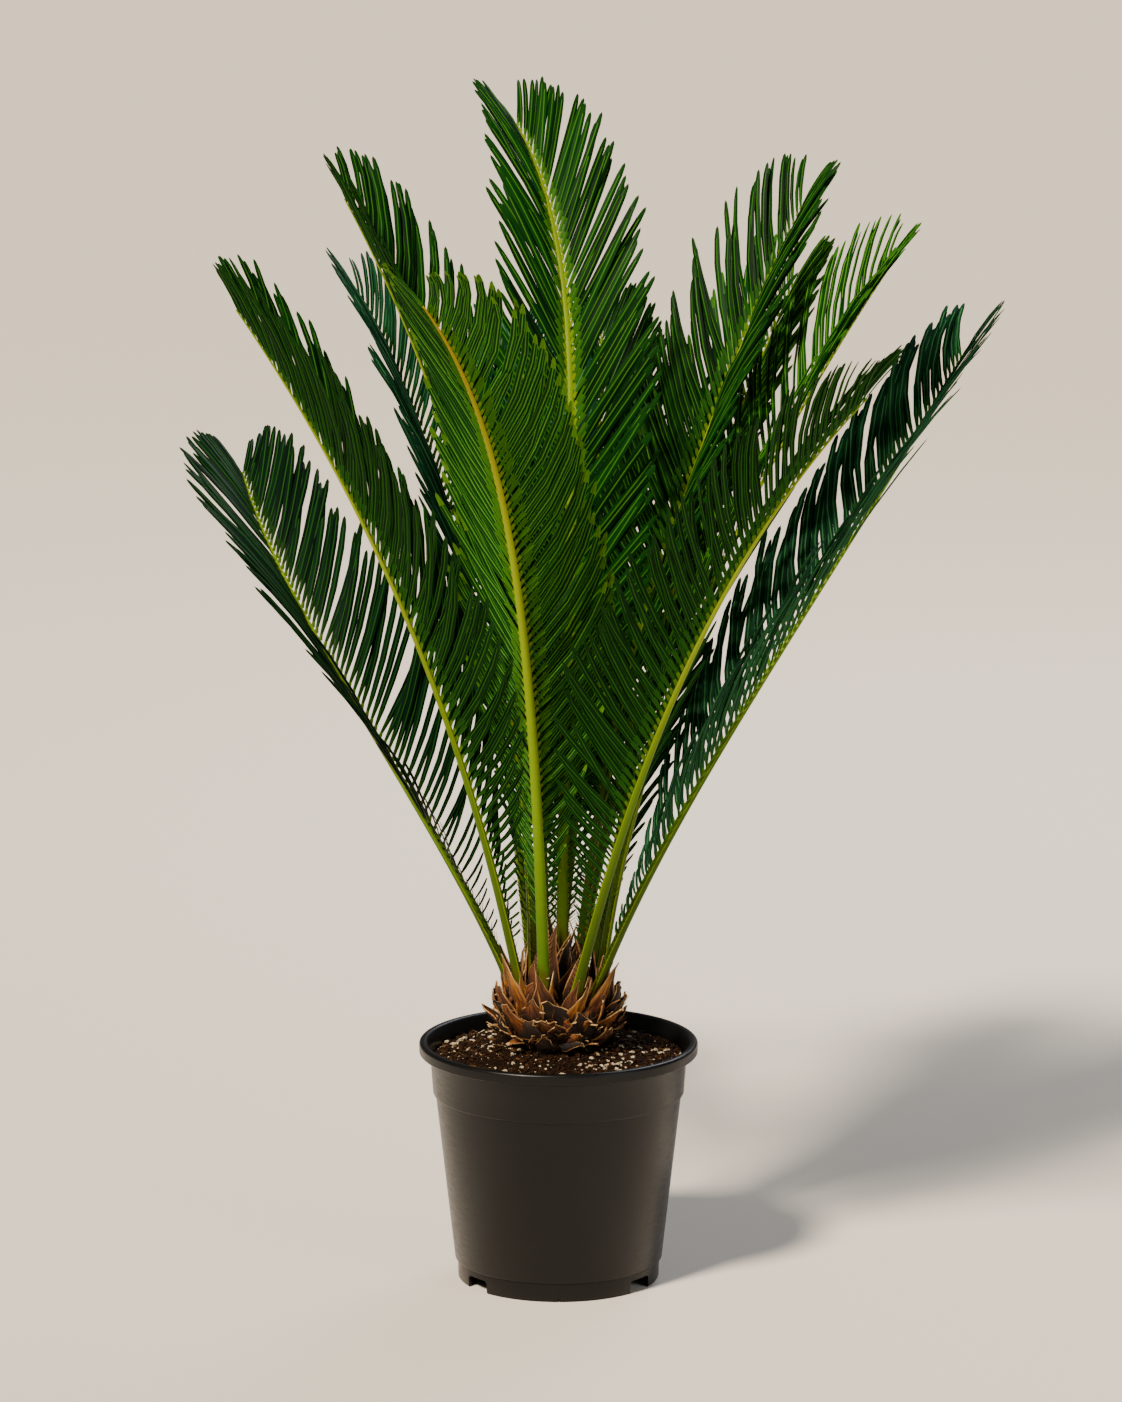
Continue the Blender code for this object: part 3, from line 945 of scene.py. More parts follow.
        # A leaflet's foot runs down the rib's edge, as long as the gap to the next one
        half[:, 0] = np.minimum(half[:, 0], self.pitch * self.foot_reach)
        rings = (
            lines["point"][:, :-1, None]
            + lines["across"][:, :-1, None] * (half[..., None] * section[:, 0])[..., None]
            + lines["upper"][:, :-1, None] * (half[..., None] * section[:, 1])[..., None]
        )
        rings[:, 0] -= rows["f"][:, None] * (self.pitch * self.foot_back)
        count = len(rings)
        verts = np.concatenate([rings.reshape(count, -1, 3), lines["point"][:, -1:]], axis=1)
        stride = verts.shape[1]
        quads, ends = self.pattern.faces()
        faces = (quads[None] + (np.arange(count) * stride)[:, None, None]).reshape(-1, 4).tolist()
        for number in range(count):
            faces += [[number * stride + i for i in face] for face in ends]
        mesh = bpy.data.meshes.new(f"{self.rib.shape.name}_leaflets")
        mesh.from_pydata(verts.reshape(-1, 3).tolist(), [], faces)
        mesh.polygons.foreach_set("material_index", self.finish_numbers(rows, len(quads)))
        bm = bmesh.new()
        bm.from_mesh(mesh)
        bmesh.ops.recalc_face_normals(bm, faces=bm.faces)
        bm.to_mesh(mesh)
        bm.free()
        return new_piece(
            mesh.name, mesh, self.materials(), self.rib.shape.name, sharp=50
        )

    def finish_numbers(self, rows: dict[str, np.ndarray], quads: int) -> list[int]:
        """Deal the plain colours out over the leaflets' faces.

        Args:
            rows: The leaflets, as laid out.
            quads: Four-sided faces of one leaflet.

        Returns:
            The number of the material of each face, in the order of the mesh.
        """
        around = len(self.pattern.section)
        # Midline, vein and margins take paler colours, partly painted highlight
        below = (Part.MARGIN, Part.UNDER, Part.VEIN, Part.VEIN, Part.UNDER, Part.MARGIN)
        kinds = (0, Part.LINE.value, 0, *(part.value for part in below))
        one = np.tile(np.array(kinds), quads // around)
        one[:around] = Part.BASE.value
        one[around : 2 * around] = Part.NECK.value
        one[-around:] = Part.TIP.value
        tones = rows["tone"].astype(int)
        sides = np.where(one[None] == 0, tones[:, None], one[None])
        tips = np.full(len(tones) * (around + 1), Part.TIP.value)
        return np.concatenate([sides.reshape(-1), tips]).tolist()

    def materials(self) -> list[bpy.types.Material]:
        """Materials of the frond's leaflets, shared by the fronds of one green.

        Returns:
            The three blade tones, then one for each part, in the order of their numbers.
        """
        green = self.rib.shape.green
        colours = green.value
        # The blades' three tones keep neighbours apart; the paler midline, vein and margin are
        # partly the leaflet's own midrib and rolled edges and partly painted highlight along them;
        # the foot and neck join it to the yellow rib
        named = [
            *((f"leaf_blade_{tone}", colour, 0.48) for tone, colour in enumerate(colours.blades)),
            ("leaf_underside", colours.under, 0.52),
            ("leaf_midline_and_highlight", colours.line, 0.36),
            ("leaf_vein_and_highlight", colours.vein, 0.5),
            ("leaflet_foot", colours.base, 0.42),
            ("leaflet_tip", colours.tip, 0.4),
            ("leaf_margin_and_highlight", colours.margin, 0.45),
            ("leaflet_neck", colours.neck, 0.42),
        ]
        made = []
        for name, colour, roughness in named:
            full = f"{name}_{green.name.lower()}"
            known = bpy.data.materials.get(full)
            made.append(known or LeafSkin(full, colour, roughness).material())
        return made


@dataclass
class Stalk:
    """The rib of one frond from its seat to its tip, swollen where it leaves the crown."""

    rib: Rib
    sides: int = 12
    stations: int = 64
    rise: float = 0.32
    keel: float = 0.48
    foot_swell: float = 0.7
    foot_length: float = 0.1
    crowding: float = 1.15

    def ring_matrix(self, share: float) -> Matrix:
        """Place a unit circle as the rib's section.

        Args:
            share: Place along the rib.

        Returns:
            The matrix from the circle's plane to the section.
        """
        point, along, upper, right = self.rib.at(share)
        swell = 1 + self.foot_swell * max(1 - share / self.foot_length, 0) ** 2
        half = self.rib.width(share) / 2 * swell
        turn = Matrix((right, upper, along)).transposed().to_4x4()
        return Matrix.Translation(point) @ turn @ Matrix.Diagonal((half, half, half, 1))

    def build(self) -> bpy.types.Object:
        """Build the rib by drawing a circle along its line.

        Returns:
            The finished piece.
        """
        shape = self.rib.shape
        bm = bmesh.new()
        uv = bm.loops.layers.uv.new("run")
        made = bmesh.ops.create_circle(bm, cap_ends=True, radius=1, segments=self.sides)
        unit = {vert: vert.co.copy() for vert in made["verts"]}
        for flat in unit.values():
            flat.y *= 2 * (self.rise if flat.y > 0 else self.keel)
        shares = {}
        ring = list(made["verts"])
        for station in range(self.stations + 1):
            share = (station / self.stations) ** self.crowding
            matrix = self.ring_matrix(share)
            if share > 0:
                drawn = bmesh.ops.extrude_edge_only(bm, edges=self.loop_edges(ring))["geom"]
                fresh = self.match(ring, [v for v in drawn if isinstance(v, bmesh.types.BMVert)])
                unit.update(zip(fresh, (unit[vert] for vert in ring)))
                ring = fresh
            for vert in ring:
                vert.co = matrix @ unit[vert]
                shares[vert] = share
        bmesh.ops.contextual_create(bm, geom=self.loop_edges(ring))
        bmesh.ops.recalc_face_normals(bm, faces=bm.faces)
        for face in bm.faces:
            for loop in face.loops:
                flat = unit[loop.vert]
                turn = abs(math.atan2(flat.y, abs(flat.x))) / (math.pi / 2)
                loop[uv].uv = (turn, shares[loop.vert])
        mesh = finished_mesh(f"{shape.name}_rib", bm)
        return new_piece(mesh.name, mesh, [self.material()], shape.name, sharp=60)

    @staticmethod
    def loop_edges(ring: list[bmesh.types.BMVert]) -> list[bmesh.types.BMEdge]:
        """Edges of a ring of vertices."""
        inside = set(ring)
        touching = (e for v in ring for e in v.link_edges if e.other_vert(v) in inside)
        return list(dict.fromkeys(touching))

    @staticmethod
    def match(
        ring: list[bmesh.types.BMVert], fresh: list[bmesh.types.BMVert]
    ) -> list[bmesh.types.BMVert]:
        """Put newly drawn vertices in the order of the ring that they came from.

        Args:
            ring: The ring that was drawn out.
            fresh: The vertices that the operator made.

        Returns:
            The new vertices in the ring's order.
        """
        new = set(fresh)
        return [next(e.other_vert(v) for e in v.link_edges if e.other_vert(v) in new) for v in ring]

    def material(self) -> bpy.types.Material:
        """Material of the rib, shared by the fronds of one green.

        Returns:
            The finished material.
        """
        green = self.rib.shape.green
        name = f"frond_rind_{green.name.lower()}"
        known = bpy.data.materials.get(name)
        # A bright line that leads the eye from the crown up the middle of each frond
        return known or StalkSkin(name, green.value.rib, green.value.rib_edge).material()


# Crown, soil and pot


def joined(
    name: str, template: bmesh.types.BMesh, places: list[Matrix], roughen: float, seed: int
) -> bpy.types.Mesh:
    """Join many copies of one small shape as one mesh, each a little different.

    Args:
        name: Name of the mesh.
        template: The shape, about the origin; it is freed.
        places: The place, turn and size of each copy.
        roughen: How far a corner strays, as a share of its distance from the middle.
        seed: Seed of the strays.

    Returns:
        The joined mesh.
    """
    rng = np.random.default_rng(seed)
    corners = np.array([vert.co for vert in template.verts])
    shapes = [[vert.index for vert in face.verts] for face in template.faces]
    template.free()
    verts = []
    faces = []
    for number, place in enumerate(places):
        strayed = corners * rng.uniform(1 - roughen, 1 + roughen, (len(corners), 1))
        matrix = np.array(place)
        verts.append(strayed @ matrix[:3, :3].T + matrix[:3, 3])
        faces += [[i + number * len(corners) for i in face] for face in shapes]
    mesh = bpy.data.meshes.new(name)
    mesh.from_pydata(np.concatenate(verts).tolist(), [], faces)
    return mesh


@dataclass(frozen=True)
class Strand:
    """One slim, curved and pointed thing, such as a spine or a fibre."""

    foot: Vector
    way: Vector
    towards: Vector
    length: float
    radius: float
    tone: int = 0


STRAND_STEPS = 3
STRAND_TAPER = 0.75


def strand_mesh(name: str, strands: list[Strand]) -> bpy.types.Mesh:
    """Draw strands as three-sided tapering bodies, joined as one mesh.

    Args:
        name: Name of the mesh.
        strands: The strands; each starts along its way and bends by its towards vector.

    Returns:
        The joined mesh, with each strand's tone as its material number.
    """
    verts = []
    faces = []
    tones = []
    for strand in strands:
        start = len(verts)
        across = strand.way.orthogonal().normalized()
        beside = strand.way.cross(across).normalized()
        for step in range(STRAND_STEPS):
            share = step / STRAND_STEPS
            middle = strand.foot + (strand.way + strand.towards * share) * strand.length * share
            size = strand.radius * (1 - STRAND_TAPER * share)
            for corner in range(3):
                turn = 2 * math.pi * corner / 3
                spot = across * math.cos(turn) + beside * math.sin(turn)
                verts.append(middle + spot * size)
        verts.append(strand.foot + (strand.way + strand.towards) * strand.length)
        for step in range(STRAND_STEPS - 1):
            low = start + 3 * step
            faces += [
                (low + i, low + (i + 1) % 3, low + 3 + (i + 1) % 3, low + 3 + i) for i in range(3)
            ]
        last = start + 3 * (STRAND_STEPS - 1)
        faces += [(last + i, last + (i + 1) % 3, last + 3) for i in range(3)]
        faces.append((start + 2, start + 1, start))
        tones += [strand.tone] * (3 * STRAND_STEPS + 1)
    mesh = bpy.data.meshes.new(name)
    mesh.from_pydata(verts, [], faces)
    mesh.polygons.foreach_set("material_index", tones)
    return mesh


def turned(profile: list[tuple[float, float]], steps: int) -> bmesh.types.BMesh:
    """Spin an open profile, whose two ends lie on the axis, into a closed body.

    Args:
        profile: Radius and height of each point.
        steps: Steps in the full turn.

    Returns:
        The closed body.
    """
    bm = bmesh.new()
    verts = [bm.verts.new((radius, 0, height)) for radius, height in profile]
    edges = [bm.edges.new(pair) for pair in zip(verts, verts[1:])]
    bmesh.ops.spin(
        bm,
        geom=verts + edges,
        axis=(0, 0, 1),
        cent=(0, 0, 0),
        angle=2 * math.pi,
        steps=steps,
        use_merge=True,
    )
    bmesh.ops.remove_doubles(bm, verts=bm.verts, dist=0.01 * MM)
    bmesh.ops.recalc_face_normals(bm, faces=bm.faces)
    return bm


@dataclass(frozen=True)
class Scale:
    """One dead leaf base; `bend` and `torn` are shares of its length.

    It curls outwards by `curl` degrees to its tip, or inwards for less than nothing. Its tip is
    bent sideways by `bend`, and `torn` is how much of a whole blade's point is missing.
    """

    width: float
    length: float
    tone: int
    bend: float = 0
    curl: float = 0
    torn: float = 0


@dataclass(frozen=True)
class ScaleRow:
    """One ring of dead leaf bases on the crown; lean and turn in degrees."""

    count: int
    height: float
    ring_radius: float
    lean: float
    width: float
    length: float
    turn: float
    tones: tuple[int, ...]
    torn: float = 0


@dataclass
class Crown:
    """The squat trunk: a fibrous core, rings of pointed dead leaf bases, and loose fibres."""

    node: str = "trunk"
    slot: str = "caudex_scales"
    foot: float = 242.3 * MM
    profile: tuple[tuple[float, float], ...] = (
        (50 * MM, 0),
        (56 * MM, 10 * MM),
        (59 * MM, 24 * MM),
        (57 * MM, 36 * MM),
        (50 * MM, 46 * MM),
        (36 * MM, 56 * MM),
        (18 * MM, 62 * MM),
    )
    top: float = 64 * MM
    turn_steps: int = 96
    relief: float = 4.2 * MM
    relief_grain: float = 8 * MM
    thickness: float = 1.1 * MM
    cup: float = 0.45
    curl: float = -16
    crinkle: float = 1.3 * MM
    crinkle_grain: float = 7 * MM
    columns: tuple[float, ...] = (-1, -0.9, -0.45, 0, 0.45, 0.9, 1)
    stations: int = 6
    blade_power: float = 0.8
    belly: float = 0.5
    thinnest: float = 0.35 * MM
    rim_tone: int = 3
    rim_face: float = (2 * MM) ** 2
    buried: float = 0.25
    rows: tuple[ScaleRow, ...] = (
        ScaleRow(10, 248 * MM, 55 * MM, 50, 20 * MM, 25 * MM, 0, (2, 2, 1), 0.6),
        ScaleRow(11, 256 * MM, 60 * MM, 42, 24 * MM, 30 * MM, 12, (2, 1, 2), 0.6),
        ScaleRow(11, 265 * MM, 61 * MM, 33, 27 * MM, 38 * MM, 3, (1, 2, 0), 0.5),
        ScaleRow(11, 275 * MM, 59 * MM, 22, 28 * MM, 44 * MM, 16, (0, 1, 2), 0.35),
        ScaleRow(11, 285 * MM, 53 * MM, 12, 27 * MM, 50 * MM, 6, (0, 1, 1), 0.2),
        ScaleRow(11, 295 * MM, 43 * MM, 6, 22 * MM, 54 * MM, 20, (0, 1, 1)),
        ScaleRow(9, 301 * MM, 30 * MM, 4, 18 * MM, 72 * MM, 0, (1, 2, 1)),
        ScaleRow(6, 304 * MM, 14 * MM, 3, 16 * MM, 82 * MM, 30, (2, 1, 1)),
    )
    sheath: tuple[tuple[float, Scale], ...] = (
        (0, Scale(26 * MM, 60 * MM, 4)),
        (1, Scale(17 * MM, 55 * MM, 1)),
        (-1, Scale(17 * MM, 52 * MM, 0)),
    )
    sheath_start: float = 9 * MM
    shred_count: int = 90
    shred_heights: tuple[float, float] = (2 * MM, 40 * MM)
    fibre_count: int = 1300
    pale_fibres: float = 0.2
    spine_shares: tuple[float, float] = (0.035, 0.17)
    spine_pitch: float = 5 * MM
    spine_radius: float = 0.6 * MM
    seed: int = 71

    def radius_at(self, height: float) -> float:
        """Radius of the core at a height above its foot."""
        radii, heights = zip(*self.profile)
        return float(np.interp(height, heights, radii))

    def core(self) -> bpy.types.Object:
        """Build the core, with the relief of packed fibres and broken leaf bases.

        Returns:
            The finished piece.
        """
        outline = [(0.0, self.foot + self.top)]
        outline += [(radius, self.foot + height) for radius, height in reversed(self.profile)]
        outline.append((0.0, self.foot))
        bm = turned(outline, self.turn_steps)
        steep = [e for e in bm.edges if abs(e.verts[0].co.z - e.verts[1].co.z) > MM]
        bmesh.ops.subdivide_edges(bm, edges=steep, cuts=4, use_grid_fill=True)
        for vert in bm.verts:
            if vert.co.z > self.foot + MM:
                out = Vector((vert.co.x, vert.co.y, 0)).normalized()
                vert.co += out * self.relief * lumps(vert.co / self.relief_grain)
        bmesh.ops.triangulate(bm, faces=[face for face in bm.faces if len(face.verts) > 4])
        bmesh.ops.recalc_face_normals(bm, faces=bm.faces)
        # Near-black brown ground, from which the scales in front stand out
        dark = Grit("packed_leaf_base_fibre", "#080402", "#2c1a0c", 3 * MM, 1.8 * MM)
        mesh = finished_mesh("trunk_core", bm)
        return new_piece(mesh.name, mesh, [dark.material()], self.node)

    def add_scale(self, bm: bmesh.types.BMesh, place: Matrix, scale: Scale) -> None:
        """Model one dead leaf base: a cupped, crinkled blade with a point or a torn end.

        Args:
            bm: The mesh that it joins.
            place: Its foot, with X outwards and Z up the trunk.
            scale: Its size, colour and curl.
        """
        uv = bm.loops.layers.uv.verify()
        across = len(self.columns) - 1
        made = bmesh.ops.create_grid(bm, x_segments=across, y_segments=self.stations, size=0.5)
        flat = {}
        for vert in made["verts"]:
            u = self.columns[round((vert.co.x + 0.5) * across)]
            v = vert.co.y + 0.5
            flat[vert] = (u, v)
            left = 1 - v * (1 - scale.torn * 0.5)
            swell = 1 + self.belly * math.sin(math.pi * min(v * 1.3, 1))
            half = max(scale.width / 2 * left**self.blade_power * swell, self.thinnest)
            turn = math.radians(scale.curl) * v
            out = math.sin(turn) * scale.length * v * 0.5 - self.cup * u * u * half
            beside = u * half + scale.bend * scale.length * v * v
            rise = math.cos(turn * 0.5) * scale.length * v
            vert.co = place @ Vector((out, beside, rise))
            vert.co += noise.noise_vector(vert.co / self.crinkle_grain) * self.crinkle * (1 + v)
        # Kept in the order of the mesh, so that each run gives the same solid
        faces = list(dict.fromkeys(face for vert in flat for face in vert.link_faces))
        for face in faces:
            border = sum(abs(flat[vert][0]) for vert in face.verts) / 4 > 0.9
            face.material_index = self.rim_tone if border else scale.tone
            for loop in face.loops:
                u, v = flat[loop.vert]
                loop[uv].uv = (u / 2 + 0.5 + scale.tone, v)
        before = set(bm.faces)
        bmesh.ops.recalc_face_normals(bm, faces=faces)
        bmesh.ops.solidify(bm, geom=faces, thickness=self.thickness)
        for face in set(bm.faces) - before:
            if face.calc_area() < self.rim_face:
                face.material_index = self.rim_tone

    def add_sheath(self, bm: bmesh.types.BMesh, rib: Rib, rng: np.random.Generator) -> None:
        """Wrap the foot of one stalk in its papery sheath: a broad scale and two at its sides.

        Args:
            bm: The mesh that it joins.
            rib: The rib of the frond.
            rng: Source of the small differences.
        """
        for side, scale in self.sheath:
            point, along, upper, right = rib.at(rng.uniform(0.012, 0.03))
            out = (right * side - upper * (1 - 0.75 * abs(side))).normalized()
            turn = Matrix((out, along.cross(out), along)).transposed().to_4x4()
            foot = point + out * rib.FOOT_WIDTH * 0.6 - along * self.sheath_start
            place = Matrix.Translation(foot) @ turn @ rotation(rng.normal(4, 3), "Y")
            size = rng.uniform(0.78, 1.18)
            tone = int(rng.choice((scale.tone, 4, 1)))
            bend, curl = rng.normal(0, 0.08), rng.normal(-4, 8)
            grown = Scale(scale.width * size, scale.length * size, tone, bend, curl)
            self.add_scale(bm, place, grown)

    def add_shred(self, bm: bmesh.types.BMesh, rng: np.random.Generator) -> None:
        """Stand one torn shred of an old leaf base on the core.

        Args:
            bm: The mesh that it joins.
            rng: Source of its place, size and turn.
        """
        height = rng.uniform(*self.shred_heights)
        place = (
            Matrix.Rotation(rng.uniform(0, 2 * math.pi), 4, "Z")
            @ Matrix.Translation((self.radius_at(height) + 1 * MM, 0, self.foot + height))
            @ rotation(rng.uniform(-15, 60), "Y")
            @ rotation(rng.normal(0, 35), "X")
            @ rotation(rng.normal(0, 40), "Z")
        )
        shred = Scale(
            width=rng.uniform(4, 11) * MM,
            length=rng.uniform(11, 25) * MM,
            tone=int(rng.choice((1, 2, 2, 0))),
            bend=rng.normal(0, 0.25),
            curl=rng.normal(0, 40),
            torn=rng.uniform(0, 1),
        )
        self.add_scale(bm, place, shred)

    def add_row(self, bm: bmesh.types.BMesh, row: ScaleRow, rng: np.random.Generator) -> None:
        """Set one ring of leaf bases on the core.

        Args:
            bm: The mesh that it joins.
            row: The ring.
            rng: Source of the small differences.
        """
        for number in range(row.count):
            turn = row.turn + 360 * number / row.count + rng.normal(0, 7)
            lean = row.lean + rng.normal(0, 8)
            place = (
                rotation(turn, "Z")
                @ Matrix.Translation((row.ring_radius, 0, row.height + rng.normal(0, 2 * MM)))
                @ rotation(lean, "Y")
                @ rotation(rng.normal(0, 9), "X")
                @ Matrix.Translation((0, 0, -self.buried * row.length))
            )
            scale = Scale(
                width=row.width * rng.uniform(0.7, 1.15),
                length=row.length * rng.uniform(0.66, 1.2),
                tone=int(rng.choice(row.tones)),
                bend=rng.normal(0, 0.16),
                curl=self.curl + rng.normal(0, 18),
                torn=row.torn * rng.uniform(0, 1.4),
            )
            self.add_scale(bm, place, scale)

    def scales(self, ribs: list[Rib]) -> bpy.types.Object:
        """Build every ring of leaf bases, the stalks' sheaths and the shreds as one piece.

        Args:
            ribs: The ribs of all the fronds.

        Returns:
            The finished piece.
        """
        rng = np.random.default_rng(self.seed)
        # Without a seed the vector noise of the crinkle starts from the clock
        noise.seed_set(self.seed)
        bm = bmesh.new()
        for rib in ribs:
            self.add_sheath(bm, rib, rng)
        for _ in range(self.shred_count):
            self.add_shred(bm, rng)
        for row in self.rows:
            self.add_row(bm, row, rng)
        bmesh.ops.recalc_face_normals(bm, faces=bm.faces)
        # Orange bases catch the eye high on the crown; brown and dark ones give it depth lower
        # down; the pale rim draws each scale's edge; the sheath ties the stalks to the crown
        finishes = [
            DryScale(
                "dry_leaf_base_orange",
                ((0.0, "#140903"), (0.3, "#52280c"), (0.6, "#9a5616"), (1.0, "#825024")),
                "#2c1406",
            ),
            DryScale(
                "dry_leaf_base_brown",
                ((0.0, "#100803"), (0.35, "#3a1e0c"), (0.7, "#6e3c14"), (1.0, "#744c26")),
                "#180c05",
            ),
            DryScale(
                "dry_leaf_base_dark",
                ((0.0, "#090503"), (0.4, "#1c0f07"), (0.8, "#2e1b0e"), (1.0, "#50361c")),
                "#0c0603",
            ),
            DryScale(
                "dry_leaf_base_rim",
                ((0.0, "#2a1608"), (0.4, "#a87238"), (1.0, "#eec88c")),
                "#744a20",
            ),
            DryScale(
                "stalk_sheath_orange",
                ((0.0, "#241006"), (0.3, "#80440c"), (0.6, "#a86c1c"), (1.0, "#765a1a")),
                "#44220a",
            ),
        ]
        materials = [finish.material() for finish in finishes]
        mesh = finished_mesh("trunk_scales", bm)
        return new_piece(mesh.name, mesh, materials, self.node, sharp=55)

    def fibres(self) -> bpy.types.Object:
        """Build the loose fibres that stand out between the leaf bases.

        Returns:
            The finished piece.
        """
        rng = np.random.default_rng(self.seed + 1)
        up = Vector((0, 0, 1))
        strands = []
        for _ in range(self.fibre_count):
            height = rng.uniform(0, self.profile[-1][1])
            turn = rng.uniform(0, 2 * math.pi)
            out = Vector((math.cos(turn), math.sin(turn), 0))
            around = Vector((-out.y, out.x, 0))
            lean, rise, drift = rng.uniform(0.2, 1.2), rng.uniform(0.0, 1.0), rng.normal(0, 0.5)
            way = (out * lean + up * rise + around * drift).normalized()
            bend = up * rng.normal(0.1, 0.4) + around * rng.normal(0, 0.5)
            foot = out * (self.radius_at(height) - 2 * MM) + up * (self.foot + height)
            length = rng.uniform(7, 20) * MM
            radius = rng.uniform(0.25, 0.6) * MM
            pale = int(rng.random() < self.pale_fibres)
            strands.append(Strand(foot, way, bend, length, radius, pale))
        # Dark hairs blur the outline between the scales, and a few pale ones catch the light
        finishes = [
            Grit("dark_leaf_base_hair", "#0a0503", "#26160a", 4 * MM, 0.1 * MM),
            Grit("pale_leaf_base_hair", "#4a2e14", "#8e6432", 4 * MM, 0.1 * MM),
        ]
        materials = [finish.material() for finish in finishes]
        mesh = strand_mesh("trunk_fibres", strands)
        return new_piece(mesh.name, mesh, materials, self.node)

    def spines(self, ribs: list[Rib]) -> bpy.types.Object:
        """Build the short spines on both edges of every stalk, below the leaflets.

        Args:
            ribs: The ribs of all the fronds.

        Returns:
            The finished piece.
        """
        rng = np.random.default_rng(self.seed + 2)
        first, last = self.spine_shares
        strands = []
        for rib in ribs:
            pitch = self.spine_pitch / rib.shape.length
            for side in (1, -1):
                share = first
                while share < last:
                    point, along, upper, right = rib.at(share)
                    out = right * side
                    foot = point + out * rib.width(share) * 0.46 + upper * rib.width(share) * 0.12
                    way = out + along * rng.uniform(0.4, 1.1) + upper * rng.uniform(0, 0.5)
                    bend = along * rng.uniform(0.1, 0.6) + right * rng.normal(0, 0.2)
                    grown = 5 + 8 * (share - first) / (last - first)
                    length = grown * rng.uniform(0.6, 1.3) * MM
                    strands.append(Strand(foot, way.normalized(), bend, length, self.spine_radius))
                    share += pitch * rng.uniform(0.7, 1.3)
        # Dark teeth that roughen the stalks' outline
        spine = Grit("dry_stalk_spine", "#101404", "#2c300c", 5 * MM, 0.05 * MM)
        mesh = strand_mesh("stalk_spines", strands)
        return new_piece(mesh.name, mesh, [spine.material()], self.node)

    def build(self, ribs: list[Rib]) -> None:
        """Build every piece of the crown.

        Args:
            ribs: The ribs of all the fronds.
        """
        self.core()
        self.scales(ribs)
        self.fibres()
        self.spines(ribs)


@dataclass(frozen=True)
class Crumbs:
    """One kind of crumb on the soil.

    Sizes run from the smallest to the largest, in metres, and `stretch` is the proportions of one
    crumb. It is made of 20 faces for a `fineness` of 1 and of 80 for 2, with corners that stray
    by the share `roughen`. Half of the crumbs lie in so many `patches`, if there are any.
    """

    name: str
    count: int
    sizes: tuple[float, float]
    stretch: tuple[float, float, float]
    finish: Grit
    fineness: int
    roughen: float
    patches: int = 0


